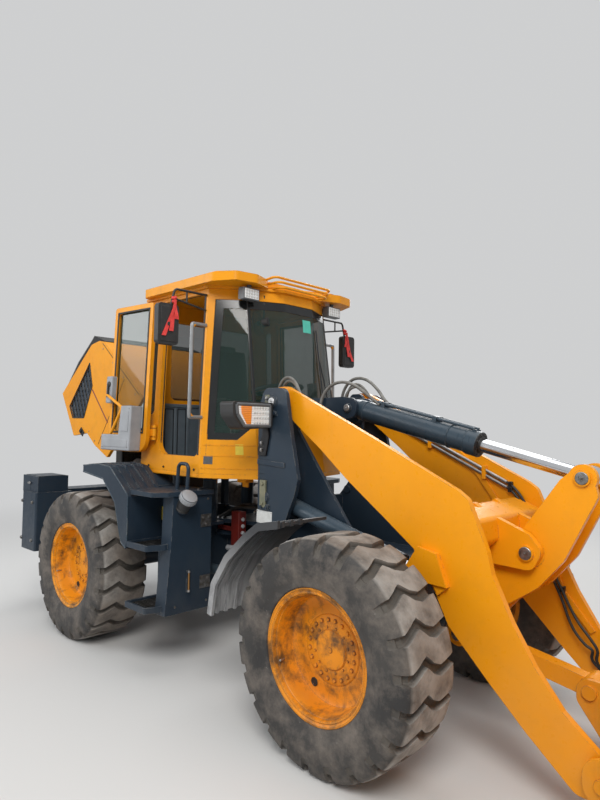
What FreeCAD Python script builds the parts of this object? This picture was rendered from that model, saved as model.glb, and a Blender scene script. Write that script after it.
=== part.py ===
import FreeCAD, Part
import math
import os
from FreeCAD import Vector

# Articulated wheel loader with a Z-bar boom, quick coupler and bucket.
# Millimetres, +X forward, +Y left, +Z up. While a piece is made, x is counted from the steering
# hitch half way between the axles; shift_x then puts the origin under the middle of the machine.

# running gear
wheelbase = 2650.0
front_axle_x = wheelbase / 2
rear_axle_x = -wheelbase / 2
axle_z = 575.0
track_half = 798.0
tyre_r = axle_z
tyre_half_width = 205.0
tread_half_width = 165.0
lug_count = 22
lug_depth = 28.0
lug_share = 0.72
lug_wave_deg = 2.4
lug_wave_w = 55.0
bead_r = 309.0
bead_half_width = 160.0
bead_gap = 0.3
flange_r = 330.0
flange_thick = 8.0
rim_half_width = 177.0
rim_wall = 12.0
disc_face_w = 34.0
disc_thick = 14.0
hub_r = 170.0
hub_face_w = 40.0
hub_cap_r = 95.0
hub_cap_w = 52.0
hub_back_w = -60.0
spindle_r = 45.0
spindle_gap = 0.3
spindle_length = 54.0
hub_gap = 6.0
axle_tube_r = 95.0
axle_end_r = 160.0
axle_end_thick = 90.0
diff_r = 150.0
axle_pad_y = 285.0
axle_pad_half = 50.0
axle_pad_reach = 90.0
pin_gap = 0.3
seat_gap = 0.3
side_gap = 6.0

# rear frame
rail_y = 300.0
rail_thick = 30.0
rail_top = 980.0
rail_bottom = 720.0
rail_rear_x = rear_axle_x - 755.0
rail_front_x = -420.0
rail_foot_z = 470.0
ear_r = 90.0
hitch_pin_r = 35.0
hitch_upper_z = 920.0
hitch_lower_z = 500.0
hitch_lug_half = 20.0
hitch_ear_thick = 30.0
hitch_gap = 10.0

# front frame and its tower, x from the front axle where a table says so
tower_outer_y = 487.0
tower_outer_thick = 30.0
tower_inner_y = 325.0
tower_inner_thick = 25.0
tower_back_x = front_axle_x - 940.0
tower_front_x = front_axle_x - 685.0
tower_shelf_z = 860.0
front_deck_z = 900.0
front_nose_x = front_axle_x + 125.0

# steering cylinders, plan view points
steer_base = (-550.0, 434.0)
steer_front = (tower_back_x - 85.0, 300.0)
steer_z = 640.0
steer_pin_r = 20.0
steer_barrel_r = 38.0
steer_rod_r = 22.0
steer_eye_r = 36.0
steer_eye_half = 42.0
steer_ear_thick = 16.0

# boom and its linkage, side view points
boom_pin = (front_axle_x - 805.0, 1860.0)
lift_base = (front_axle_x - 865.0, 1240.0)
lift_eye = (front_axle_x + 230.0, 940.0)
tilt_base = (front_axle_x - 525.0, 1830.0)
rocker_top = (front_axle_x + 968.0, 1468.0)
rocker_pin = (front_axle_x + 705.0, 1072.0)
rocker_low = (front_axle_x + 295.0, 554.0)
coupler_top = (front_axle_x + 985.0, 440.0)
coupler_pin = (front_axle_x + 1165.0, 235.0)
arm_y = 420.0
arm_thick = 38.0
arm_tip_r = 80.0
arm_boss_r = 70.0
boom_pin_r = 35.0
coupler_pin_r = 30.0
boom_ear_thick = 40.0
rocker_half = 105.0
rocker_cheek = 32.0
rocker_pin_r = 40.0
link_half = 50.0
link_pin_r = 26.0
link_eye_r = 62.0
lift_barrel_r = 50.0
lift_rod_r = 31.0
lift_eye_half = 30.0
lift_base_half = 55.0
lift_pin_r = 28.0
tilt_barrel_r = 67.0
tilt_rod_r = 38.0
tilt_eye_half = 62.0
tilt_pin_r = 30.0
tilt_gland = 925.0
gland_length = 70.0
pipe_r = 9.0

# bucket and coupler
bucket_width = 2180.0
bucket_plate = 18.0
bucket_floor_z = 25.0
bucket_depth = 950.0
bucket_height = 900.0
bucket_lip = 40.0
coupler_reach = 210.0
bucket_back_x = coupler_pin[0] + coupler_reach
coupler_half = 520.0
coupler_face = 24.0
coupler_low_z = 110.0
coupler_high_z = 620.0

# tow hitch behind the counterweight
tow_x = rear_axle_x - 1240.0
tow_end_x = rear_axle_x - 1275.0
tow_hole_r = 20.0
tow_plate = 25.0
tow_low_z = 640.0
tow_high_z = 725.0
tow_half = 110.0

# tanks with their steps, and the guards over the wheels
tank_front_x = rear_axle_x + 1215.0
tank_inner_y = 505.0
tank_side_y = 700.0
tank_low_z = 420.0
deck_top_z = 1245.0
deck_thick = 32.0
step_thick = 40.0
step_high_z = 850.0
step_low_z = 440.0
column_front_x = rear_axle_x + 885.0
guard_inner_y = 560.0
guard_outer_y = 985.0
skirt_thick = 25.0

# cab
cab_floor_z = 1335.0
cab_height = 1335.0
cab_top_z = cab_floor_z + cab_height
cab_wall = 45.0
cab_floor_thick = 30.0
cab_rear_x = rear_axle_x + 505.0
cab_pillar_x = cab_rear_x + 760.0
cab_nose_x = cab_rear_x + 792.0
cab_sill_z = cab_floor_z + 355.0
cab_head_z = cab_top_z - 75.0
side_low_y = 660.0
side_top_y = 610.0
cab_clear = 8.0
glass_thick = 8.0
glass_inset = 8.0
pane_gap = 0.5
roof_half = 690.0
roof_rise = 18.0
roof_thick = 62.0
roof_cap = 25.0
rack_r = 9.0
grab_x = cab_pillar_x - 6.0
grab_r = 12.0
lamp_y = 440.0
lamp_half = 72.0

# doors
door_hinge_x = cab_rear_x + 210.0
door_front_x = cab_rear_x + 722.0
door_low_z = cab_floor_z + 120.0
door_top_z = cab_top_z - 30.0
door_thick = 34.0
door_gap = 6.0
door_stile = 42.0
door_open_deg = 175.0
door_pivot_y = side_low_y + 24.0
hinge_pin_r = 8.0
knuckle_r = 17.0
knuckle_half = 30.0
lug_half = 11.0
hinge_low_z = cab_floor_z + 305.0
hinge_high_z = cab_top_z - 250.0

# hood, drawn closed about its hinge and then raised
hood_hinge = (cab_rear_x - 160.0, 1925.0)
hood_open_deg = 37.0
hood_half = 550.0
hood_skin = 30.0
hood_pin_r = 12.0
hood_ear_half = 8.0
hood_ear_y = rail_y + 15.0

shift_x = -(bucket_back_x + bucket_depth + bucket_lip + tow_end_x) / 2

sides = [("right", -1), ("left", 1)]


def from_front(points):
    """Side view points counted from the front axle, with any corner radii."""
    return [(front_axle_x + p[0],) + tuple(p[1:]) for p in points]


def from_rear(points):
    """Side view points counted from the rear axle, with any corner radii."""
    return [(rear_axle_x + p[0],) + tuple(p[1:]) for p in points]


def around(center, points):
    """Points counted from a center, with any corner radii."""
    return [(center[0] + p[0], center[1] + p[1]) + tuple(p[2:]) for p in points]


windshield_side = [
    (cab_nose_x, cab_floor_z + 267), (cab_nose_x + 178, cab_floor_z + 267),
    (cab_nose_x + 260, cab_sill_z), (cab_nose_x + 728, cab_sill_z),
    (cab_nose_x + 728, cab_head_z), (cab_nose_x, cab_head_z),
]
door_opening = [
    (door_hinge_x + 8, door_low_z + 25, 110), (door_front_x, door_low_z + 25, 40),
    (door_front_x, door_top_z, 30), (door_hinge_x + 8, door_top_z, 30),
]
quarter_window = [
    (cab_rear_x + cab_wall, cab_floor_z + 445, 40), (cab_rear_x + 148, cab_floor_z + 445, 40),
    (cab_rear_x + 148, cab_head_z - 30, 40), (cab_rear_x + cab_wall, cab_head_z - 30, 40),
]
rear_window = [
    (-430, cab_floor_z + 565, 50), (430, cab_floor_z + 565, 50),
    (430, cab_head_z - 60, 50), (-430, cab_head_z - 60, 50),
]
door_hinge_zs = [hinge_low_z, hinge_high_z]


def polar(center, radius, degrees):
    """A point in the XZ plane at an angle from +X towards +Z."""
    angle = math.radians(degrees)
    return (center[0] + radius * math.cos(angle), center[1] + radius * math.sin(angle))


def distance(a, b):
    return math.hypot(b[0] - a[0], b[1] - a[1])


def heading(a, b):
    return math.degrees(math.atan2(b[1] - a[1], b[0] - a[0]))


def toward(a, b, length):
    """The point at a length from a on the way to b."""
    share = length / distance(a, b)
    return (a[0] + (b[0] - a[0]) * share, a[1] + (b[1] - a[1]) * share)


def outline_face(points, place):
    """A flat face from (a, b) or (a, b, corner radius) points; place turns (a, b) into 3-D."""
    count = len(points)
    edges = []
    starts = []
    ends = []
    for i in range(count):
        here = points[i]
        if len(here) == 2 or here[2] == 0:
            starts.append(here[:2])
            ends.append(here[:2])
            continue
        corner = here[:2]
        before = points[i - 1][:2]
        after = points[(i + 1) % count][:2]
        turn = math.radians(heading(before, corner) - heading(corner, after))
        turn = abs(math.atan2(math.sin(turn), math.cos(turn)))
        reach = here[2] * math.tan(turn / 2)
        first = toward(corner, before, reach)
        last = toward(corner, after, reach)
        middle = ((first[0] + last[0]) / 2, (first[1] + last[1]) / 2)
        sag = here[2] * (1 / math.cos(turn / 2) - 1)
        crown = toward(corner, middle, sag)
        edges.append(Part.Arc(place(*first), place(*crown), place(*last)).toShape())
        starts.append(first)
        ends.append(last)
    for i in range(count):
        a = place(*ends[i])
        b = place(*starts[(i + 1) % count])
        if a.distanceToPoint(b) > 0.001:
            edges.append(Part.makeLine(a, b))
    wire = Part.Wire(Part.__sortEdges__(edges))
    return Part.Face(wire)


def inset(points, gap):
    """Moves every edge of an outline in by a gap, or out by a negative one."""
    count = len(points)
    area = 0
    for i in range(count):
        area += points[i - 1][0] * points[i][1] - points[i][0] * points[i - 1][1]
    turn = 1 if area > 0 else -1
    moved = []
    for i in range(count):
        a, b, c = points[i - 1], points[i], points[(i + 1) % count]
        before = Vector(b[0] - a[0], b[1] - a[1], 0).normalize()
        after = Vector(c[0] - b[0], c[1] - b[1], 0).normalize()
        middle = Vector(-before.y - after.y, before.x + after.x, 0) * turn
        step = middle * (2 * gap / middle.dot(middle))
        moved.append((b[0] + step.x, b[1] + step.y) + tuple(b[2:]))
    return moved


def plate_y(points, y0, y1):
    """An (x, z) outline made thick from y0 to y1."""
    face = outline_face(points, lambda x, z: Vector(x, y0, z))
    return face.extrude(Vector(0, y1 - y0, 0))


def plate_x(points, x0, x1):
    """A (y, z) outline made thick from x0 to x1."""
    face = outline_face(points, lambda y, z: Vector(x0, y, z))
    return face.extrude(Vector(x1 - x0, 0, 0))


def plate_z(points, z0, z1):
    """An (x, y) outline made thick from z0 to z1."""
    face = outline_face(points, lambda x, y: Vector(x, y, z0))
    return face.extrude(Vector(0, 0, z1 - z0))


def box(x0, x1, y0, y1, z0, z1):
    low = Vector(min(x0, x1), min(y0, y1), min(z0, z1))
    return Part.makeBox(abs(x1 - x0), abs(y1 - y0), abs(z1 - z0), low)


def rod(start, end, radius):
    a = Vector(*start)
    b = Vector(*end)
    return Part.makeCylinder(radius, a.distanceToPoint(b), a, b - a)


def cross_rod(point, y0, y1, radius):
    """A round bar across the machine through an (x, z) point."""
    return rod((point[0], y0, point[1]), (point[0], y1, point[1]), radius)


def ring(x, z, profile):
    """Turns a (radius, y) profile about the cross line through (x, z)."""
    face = outline_face(profile, lambda r, y: Vector(x + r, y, z))
    return face.revolve(Vector(x, 0, z), Vector(0, 1, 0), 360)


def fuse(shapes):
    whole = shapes[0]
    if len(shapes) > 1:
        whole = whole.fuse(shapes[1:])
    return whole.removeSplitter()


def mirrored(shape):
    return shape.mirror(Vector(0, 0, 0), Vector(0, 1, 0))


def tube_path(points, radius, bend):
    """A round bar along straight runs with bends between them."""
    pieces = []
    last = Vector(*points[0])
    for i in range(1, len(points) - 1):
        corner = Vector(*points[i])
        to_last = (last - corner).normalize()
        to_next = (Vector(*points[i + 1]) - corner).normalize()
        half = to_last.getAngle(to_next) / 2
        reach = bend / math.tan(half)
        first = corner + to_last * reach
        second = corner + to_next * reach
        inward = (to_last + to_next).normalize()
        center = corner + inward * (bend / math.sin(half))
        pieces.append(Part.makeLine(last, first))
        pieces.append(Part.Arc(first, center - inward * bend, second).toShape())
        last = second
    pieces.append(Part.makeLine(last, Vector(*points[-1])))
    path = Part.Wire(pieces)
    start = Vector(*points[0])
    section = Part.Wire(Part.makeCircle(radius, start, Vector(*points[1]) - start))
    return path.makePipeShell([section], True, True)


def turned(shape, point, degrees):
    """Turns a shape in side view about an (x, z) point, positive from +X towards +Z."""
    copy = shape.copy()
    copy.rotate(Vector(point[0], 0, point[1]), Vector(0, -1, 0), degrees)
    return copy


def slatted(outline, y0, y1, border, pitch, slat, tilt):
    """A frame with slanting slats across an (x, z) outline."""
    edge = plate_y(outline, y0, y1)
    ring_part = edge.cut(plate_y(inset(outline, border), y0 - 5, y1 + 5))
    middle = (sum(p[0] for p in outline) / len(outline), sum(p[1] for p in outline) / len(outline))
    reach = max(distance(middle, p) for p in outline)
    bars = []
    for i in range(-int(reach / pitch), int(reach / pitch) + 1):
        z = middle[1] + i * pitch
        bar = box(middle[0] - reach, middle[0] + reach, y0, y1, z - slat / 2, z + slat / 2)
        bars.append(turned(bar, middle, tilt))
    grid = edge.common(Part.makeCompound(bars))
    return fuse([ring_part] + grid.Solids)


def tyre(x, side):
    """A lugged tyre; each bar bends where its middle station is turned on by the wave."""
    spread = 360.0 / lug_count
    widest = spread * max(lug_share, 1 - lug_share)
    bore_r = (bead_r + bead_gap) / math.cos(math.radians(widest / 2))
    # stations across the tyre: raised radius, width, sunk radius, width, turn
    half = [
        (bore_r, bead_half_width, bore_r, bead_half_width),
        (tyre_r - 145, tyre_half_width, tyre_r - 145, tyre_half_width),
        (tyre_r - 68, tyre_half_width - 4, tyre_r - 68, tyre_half_width - 4),
        (tyre_r - 26, tyre_half_width - 12, tyre_r - 26 - lug_depth, tyre_half_width - 20),
        (tyre_r, tread_half_width, tyre_r - lug_depth, tread_half_width),
    ]
    stations = [(high, -w, low, -v, 0.0) for high, w, low, v in half]
    stations.append((tyre_r, lug_wave_w, tyre_r - lug_depth, lug_wave_w, lug_wave_deg))
    stations += [(high, w, low, v, 0.0) for high, w, low, v in reversed(half)]
    first_step = 3
    last_step = len(stations) - 4

    def at(station, angle, raised):
        high, w, low, v, turn = stations[station]
        radius, across = (high, w) if raised else (low, v)
        spot = polar((x, axle_z), radius, angle + turn)
        return Vector(spot[0], side * (track_half + across), spot[1])

    faces = []

    def patch(corners):
        for trio in ((0, 1, 2), (0, 2, 3)):
            spots = [corners[i] for i in trio]
            faces.append(Part.Face(Part.makePolygon(spots + [spots[0]])))

    def wall(corners):
        faces.append(Part.Face(Part.makePolygon(corners + [corners[0]])))

    for lug in range(lug_count):
        start = -90 + lug * spread
        ends = (start, start + spread * lug_share, start + spread)
        for raised in (True, False):
            a, b = (ends[0], ends[1]) if raised else (ends[1], ends[2])
            for i in range(len(stations)):
                j = (i + 1) % len(stations)
                patch([at(i, a, raised), at(i, b, raised), at(j, b, raised), at(j, a, raised)])
        for angle in ends[:2]:
            for i in range(first_step, last_step):
                patch([at(i, angle, True), at(i + 1, angle, True),
                       at(i + 1, angle, False), at(i, angle, False)])
            wall([at(first_step - 1, angle, True), at(first_step, angle, True),
                  at(first_step, angle, False)])
            wall([at(last_step + 1, angle, True), at(last_step, angle, True),
                  at(last_step, angle, False)])
    solid = Part.makeSolid(Part.makeShell(faces))
    if solid.Volume < 0:
        solid.reverse()
    return solid


def rim(x, side):
    y = side * track_half
    bore = spindle_r + spindle_gap
    base = bead_r - rim_wall
    edge = rim_half_width - flange_thick
    profile = [
        (base, -rim_half_width), (flange_r, -rim_half_width), (flange_r, -edge), (bead_r, -edge),
        (bead_r, edge), (flange_r, edge), (flange_r, rim_half_width), (base, rim_half_width),
        (base, disc_face_w), (hub_r, disc_face_w), (hub_r, hub_face_w), (hub_cap_r, hub_face_w),
        (hub_cap_r, hub_cap_w), (0, hub_cap_w), (0, 0), (bore, 0), (bore, hub_back_w),
        (hub_r, hub_back_w), (hub_r, disc_face_w - disc_thick), (base, disc_face_w - disc_thick),
    ]
    return ring(x, axle_z, [(r, y + side * w) for r, w in profile])


def axle(x, toward_middle):
    hub_plane = track_half + hub_back_w
    end_face = hub_plane - hub_gap
    nose = Part.makeCone(
        diff_r - 30, diff_r - 80, 2.2 * diff_r, Vector(x, 0, axle_z), Vector(toward_middle, 0, 0))
    parts = [
        cross_rod((x, axle_z), -end_face, end_face, axle_tube_r),
        Part.makeSphere(diff_r, Vector(x, 0, axle_z)),
        cross_rod((x, axle_z), -hub_plane - spindle_length, hub_plane + spindle_length, spindle_r),
        nose,
    ]
    pad_top = rail_bottom - 30
    for name, side in sides:
        inner = side * (end_face - axle_end_thick)
        parts.append(cross_rod((x, axle_z), inner, side * end_face, axle_end_r))
        pad_y = side * axle_pad_y
        parts.append(box(x - axle_pad_reach, x + axle_pad_reach, pad_y - axle_pad_half,
                         pad_y + axle_pad_half, axle_z, pad_top))
    return fuse(parts)


def rear_frame():
    foot_x = rail_front_x - 200
    side_plate = [
        (rail_rear_x, rail_bottom), (rail_rear_x, rail_top), (rail_front_x, rail_top),
        (rail_front_x, rail_foot_z), (foot_x, rail_foot_z), (foot_x - 260, rail_bottom),
    ]
    parts = []
    for name, side in sides:
        y0 = side * rail_y
        parts.append(plate_y(side_plate, y0, y0 + side * rail_thick))
        pad_y = side * axle_pad_y
        parts.append(box(rear_axle_x - axle_pad_reach, rear_axle_x + axle_pad_reach,
                         pad_y - axle_pad_half, pad_y + axle_pad_half,
                         rail_bottom - 30, rail_bottom + 60))
    outer = rail_y + rail_thick
    parts.append(box(rail_front_x, rail_front_x + rail_thick, -outer, outer, rail_foot_z, rail_top))
    parts.append(box(rail_rear_x, rail_rear_x + rail_thick, -outer, outer, rail_bottom, rail_top))
    for offset in (-555, -375, 175, 425):
        x = rear_axle_x + offset
        parts.append(box(x, x + 60, -rail_y, rail_y, rail_bottom + 20, rail_bottom + 80))
    for center_z in (hitch_upper_z, hitch_lower_z):
        for sign in (-1, 1):
            near = center_z + sign * (hitch_lug_half + hitch_gap)
            plan = [
                (rail_front_x, -250), (-200, -ear_r - 60), (ear_r, -ear_r, ear_r - 1),
                (ear_r, ear_r, ear_r - 1), (-200, ear_r + 60), (rail_front_x, 250),
            ]
            parts.append(plate_z(plan, near, near + sign * hitch_ear_thick))
        reach = hitch_lug_half + hitch_gap + hitch_ear_thick + 12
        parts.append(rod((0, 0, center_z - reach), (0, 0, center_z + reach), hitch_pin_r))
    low = hitch_lower_z + hitch_lug_half + hitch_gap
    high = hitch_upper_z - hitch_lug_half - hitch_gap
    for name, side in sides:
        parts.append(box(rail_front_x, -150, side * 100, side * 125, low, high))
        parts.append(steer_lug(steer_base, side))
        parts.append(cab_mount(cab_rear_x + 100, side))
        parts.append(cab_mount(cab_rear_x + 500, side))
    return fuse(parts)


def steer_lug(point, side):
    """Two ears off the rail with the pin of a steering cylinder's base."""
    x, y = point
    parts = []
    near = steer_eye_half + side_gap
    tip = y + steer_eye_r + 4
    for sign in (-1, 1):
        z0 = steer_z + sign * near
        plan = [
            (x - 60, side * (rail_y + 5)), (x - 45, side * tip, 39),
            (x + 45, side * tip, 39), (x + 60, side * (rail_y + 5)),
        ]
        parts.append(plate_z(plan, z0, z0 + sign * steer_ear_thick))
    reach = near + steer_ear_thick + 8
    low = (x, side * y, steer_z - reach)
    high = (x, side * y, steer_z + reach)
    parts.append(rod(low, high, steer_pin_r))
    return fuse(parts)


def front_steer_lug(side):
    x, y = steer_front
    parts = []
    near = steer_eye_half + side_gap
    root_x = tower_back_x + 20
    for sign in (-1, 1):
        z0 = steer_z + sign * near
        plan = [
            (root_x, side * (y - 60)), (x - 45, side * (y - 40), 39),
            (x - 45, side * (y + 40), 39), (root_x, side * (y + 45)),
        ]
        outer = z0 + sign * steer_ear_thick
        cap = rod((x, side * y, outer - sign * 4), (x, side * y, outer + sign * 8), steer_pin_r + 8)
        parts += [plate_z(plan, z0, outer), cap]
    return Part.makeCompound(parts)


def hood_post(side):
    """A post from the rail up to the hood's hinge line, with its pin."""
    x, z = hood_hinge
    y = side * hood_ear_y
    seat_z = rail_top + seat_gap
    near = y - hood_ear_half
    far = y + hood_ear_half
    post = box(x - 25, x + 25, y - 25, y + 25, seat_z, z - 45)
    foot = box(x - 60, x + 60, y - 40, y + 15, seat_z, seat_z + 12)
    ear = fuse([box(x - 20, x + 20, near, far, z - 50, z), cross_rod(hood_hinge, near, far, 20)])
    pin = cross_rod(hood_hinge, y, y + side * 70, hood_pin_r)
    return fuse([post, foot, ear, pin])


def cab_mount(x, side):
    """A rubber-mount pillar between the rail and the cab floor."""
    y = side * (rail_y + 40)
    root_x = min(x - 60, rail_front_x - 5)
    return fuse([
        box(root_x, x + 60, side * (rail_y - 30), side * (rail_y + 110), rail_top - 25, rail_top),
        rod((x, y + side * 20, rail_top - 10), (x, y + side * 20, cab_floor_z - seat_gap), 55),
    ])


def front_frame():
    inner_plate = [(tower_back_x, 450)] + from_front([
        (-705, 450), (-425, 690), (165, 690), (235, 760), (235, 900), (-125, 930), (-281, 1083),
        (-738, 1679), (-713, 1900, 40), (-755, 1950, 40), (-855, 1950, 40), (-855, 1300),
    ]) + [(tower_back_x, 1200)]
    outer_plate = from_front([
        (-930, tower_shelf_z), (-940, 1810), (-885, 1951, 60), (-691, 1945, 60), (-654, 1741),
        (-634, 1635), (-571, 1371), (-600, 1270), (-675, 1110), (-685, tower_shelf_z),
    ])
    bracket = from_front([
        (-855, 1700), (-855, 1900), (-565, 1905), (-445, 1890, 55), (-460, 1765, 55),
        (-565, 1760), (-725, 1640),
    ])
    low_z = 450
    gusset_x = tower_back_x - 235
    waist_x = tower_back_x - 185
    parts = []
    inner_face = tower_inner_y + tower_inner_thick
    outer_face = tower_outer_y + tower_outer_thick
    for name, side in sides:
        y0 = side * tower_inner_y
        y1 = side * outer_face
        parts.append(plate_y(inner_plate, y0, side * inner_face))
        parts.append(plate_y(outer_plate, side * tower_outer_y, y1))
        parts.append(box(tower_back_x, tower_front_x, y0, y1, tower_shelf_z, tower_shelf_z + 30))
        parts.append(box(tower_back_x, tower_back_x + 15, y0, y1, tower_shelf_z, 1120))
        pin_start = side * (tower_inner_y - 12)
        pin_end = side * (outer_face + 12)
        parts.append(cross_rod(boom_pin, pin_start, pin_end, boom_pin_r))
        parts.append(cross_rod(lift_base, pin_start, pin_end, lift_pin_r))
        for pin, stand in ((boom_pin, 70), (lift_base, 60)):
            parts.append(pin_lock(pin, side * outer_face, side, stand))
        parts.append(front_steer_lug(side))
        gusset = [
            (gusset_x, hitch_lower_z + 10), (tower_back_x + 20, hitch_lower_z + 10),
            (tower_back_x + 20, hitch_upper_z - 10), (gusset_x, hitch_upper_z - 10),
        ]
        parts.append(plate_y(gusset, side * 90, side * 115))
        pad_y = side * axle_pad_y
        parts.append(box(front_axle_x - axle_pad_reach, front_axle_x + axle_pad_reach,
                         pad_y - axle_pad_half, pad_y + axle_pad_half + 10,
                         rail_bottom - 30, rail_bottom + 40))
        parts.append(plate_y(bracket, side * (tilt_eye_half + 13), side * (tilt_eye_half + 35)))
    across = tower_inner_y
    bracket_tube = (front_axle_x - 765, 1790)
    tilt_reach = tilt_eye_half + 47
    parts.append(cross_rod(bracket_tube, -across, across, 62))
    parts.append(cross_rod(tilt_base, -tilt_reach, tilt_reach, tilt_pin_r))
    parts.append(box(tower_back_x, tower_back_x + 25, -across, across, low_z, 1200))
    parts.append(box(tower_back_x, front_nose_x, -across, across, front_deck_z - 22, front_deck_z))
    parts.append(box(front_nose_x - 25, front_nose_x, -across, across, 690, front_deck_z))
    parts.append(box(tower_back_x, front_axle_x - 705, -across, across, low_z, low_z + 25))
    bore = hitch_pin_r + pin_gap
    for center_z in (hitch_upper_z, hitch_lower_z):
        plan = [
            (tower_back_x + 20, -250), (waist_x, -ear_r - 60), (-ear_r, -ear_r, ear_r - 1),
            (-ear_r, ear_r, ear_r - 1), (waist_x, ear_r + 60), (tower_back_x + 20, 250),
        ]
        lug = plate_z(plan, center_z - hitch_lug_half, center_z + hitch_lug_half)
        hole = rod((0, 0, center_z - 50), (0, 0, center_z + 50), bore)
        parts.append(lug.cut(hole))
    return fuse(parts)


def pin_lock(pin, y, side, stand):
    """A keeper plate under a pin's end with its two bolts."""
    x, z = pin
    bottom = z - stand - 22
    plate = box(x - 42, x + 42, y - side, y + side * 10, bottom, bottom + 36)
    bolts = [rod((x + dx, y, bottom + 18), (x + dx, y + side * 20, bottom + 18), 11)
             for dx in (-26, 26)]
    return fuse([plate] + bolts)


def boom():
    arm = around(boom_pin, [(-94, -94, 93), (-94, 94, 93)]) + from_front([
        (-761, 1962, 60), (-68, 1647), (477, 1390), (535, 1350, 50), (639, 1105), (663, 1000),
        (763, 793), (870, 620), (992, 464), (1235, 262, 92), (1215, 137, 92), (1045, 137, 60),
        (827, 320), (656, 480), (429, 706), (348, 862), (219, 1062), (24, 1204), (-254, 1401),
        (-458, 1565), (-677, 1723), (-725, 1766),
    ])
    beam = from_front([
        (365, 1020, 30), (375, 1300, 30), (461, 1272, 30), (550, 1236, 30), (560, 1120, 30),
        (437, 1012, 30),
    ])
    ear = from_front([
        (382, 1324, 20), (461, 1267), (719, 1168), (790, 1089, 50), (734, 985, 50), (519, 990),
        (415, 1060),
    ])
    lug = around(lift_eye, [
        (-47, 20, 40), (-20, -47, 40), (80, -35), (205, -40), (145, 120), (35, 145),
    ])
    pack = around(lift_eye, [(145, -90), (205, -40), (145, 120), (45, 135), (85, 20)])
    ribs = [
        from_front([(-30, 1560), (-10, 1590), (170, 1440, 60), (290, 1270), (265, 1250),
                    (145, 1410, 60)]),
        from_front([(585, 960), (615, 972), (700, 780, 80), (860, 590), (835, 572),
                    (670, 765, 80)]),
    ]
    pipe_run = from_front([(-640, 1835), (352, 1378)])
    parts = []
    half = arm_thick / 2
    for name, side in sides:
        y = side * arm_y
        inner = y - side * half
        boss_half = (tower_outer_y - tower_inner_y - tower_inner_thick) / 2 - side_gap
        parts.append(plate_y(arm, y - half, y + half))
        parts.append(cross_rod(boom_pin, y - boss_half, y + boss_half, arm_boss_r))
        parts.append(cross_rod(coupler_pin, y - half - 16, y + half + 16, arm_tip_r))
        for rib in ribs:
            parts.append(plate_y(rib, inner + side * 4, inner - side * 12))
        pipe_y = inner - side * (pipe_r + 5)
        for drop in (0, 32):
            ends = [(x, pipe_y, z - drop) for x, z in pipe_run]
            parts.append(rod(ends[0], ends[1], pipe_r))
            for x, y0, z in ends:
                parts.append(cross_rod((x, z), y0, inner + side * 3, pipe_r + 2))
        for share in (0.08, 0.45, 0.85):
            x, z = toward(pipe_run[0], pipe_run[1], share * distance(*pipe_run))
            parts.append(box(x - 14, x + 14, inner + side, inner - side * 25, z - 60, z + 22))
        for sign in (-1, 1):
            near = y + sign * (lift_eye_half + side_gap)
            parts.append(plate_y(lug, near, near + sign * 16))
            parts.append(plate_y(pack, y + sign * (half - 4), near + sign * 2))
            parts.append(cross_rod(lift_eye, near, near + sign * 26, lift_pin_r - 2))
    parts.append(plate_y(beam, -arm_y, arm_y))
    near = rocker_half + side_gap
    for name, side in sides:
        parts.append(plate_y(ear, side * near, side * (near + boom_ear_thick)))
    reach = near + boom_ear_thick + 12
    parts.append(cross_rod(rocker_pin, -reach, reach, rocker_pin_r))
    whole = fuse(parts)
    for name, side in sides:
        y = side * arm_y
        whole = whole.cut(cross_rod(boom_pin, y - 80, y + 80, boom_pin_r + pin_gap))
        whole = whole.cut(cross_rod(coupler_pin, y - 60, y + 60, coupler_pin_r + pin_gap))
    return whole


def rocker():
    side_view = from_front([
        (858, 1452, 25), (937, 1522, 30), (1025, 1440), (1040, 1382, 30), (876, 1050, 80),
        (744, 893, 60), (559, 762), (343, 510), (244, 594), (425, 890), (625, 1128, 60),
        (782, 1345),
    ])
    web = from_front([
        (450, 850), (555, 790), (735, 920), (855, 1090), (735, 1190), (635, 1110),
    ])
    inner = rocker_half - rocker_cheek
    parts = []
    for name, side in sides:
        near = side * inner
        outer = side * rocker_half
        parts.append(plate_y(side_view, near, outer))
        for pin, radius in ((rocker_top, 68), (rocker_low, 65)):
            parts.append(cross_rod(pin, near, outer, radius))
            parts.append(cross_rod(pin, outer - side * 2, outer + side * 14, 40))
    parts.append(plate_y(web, -inner - 2, inner + 2))
    parts.append(cross_rod(rocker_pin, -rocker_half - 2, rocker_half + 2, rocker_pin_r + 38))
    parts.append(cross_rod(rocker_low, -inner - 2, inner + 2, link_pin_r))
    whole = fuse(parts)
    return whole.cut(cross_rod(rocker_pin, -200, 200, rocker_pin_r + pin_gap))


def bar_outline(a, b, half):
    """A straight bar's outline between two (x, z) points."""
    angle = heading(a, b)
    return [
        polar(a, half, angle + 90), polar(b, half, angle + 90),
        polar(b, half, angle - 90), polar(a, half, angle - 90),
    ]


def tilt_link():
    whole = fuse([
        cross_rod(rocker_low, -link_half, link_half, link_eye_r),
        cross_rod(coupler_top, -link_half, link_half, link_eye_r),
        plate_y(bar_outline(rocker_low, coupler_top, 46), -link_half + 12, link_half - 12),
    ])
    return whole.cut(cross_rod(rocker_low, -100, 100, link_pin_r + pin_gap))


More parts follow.
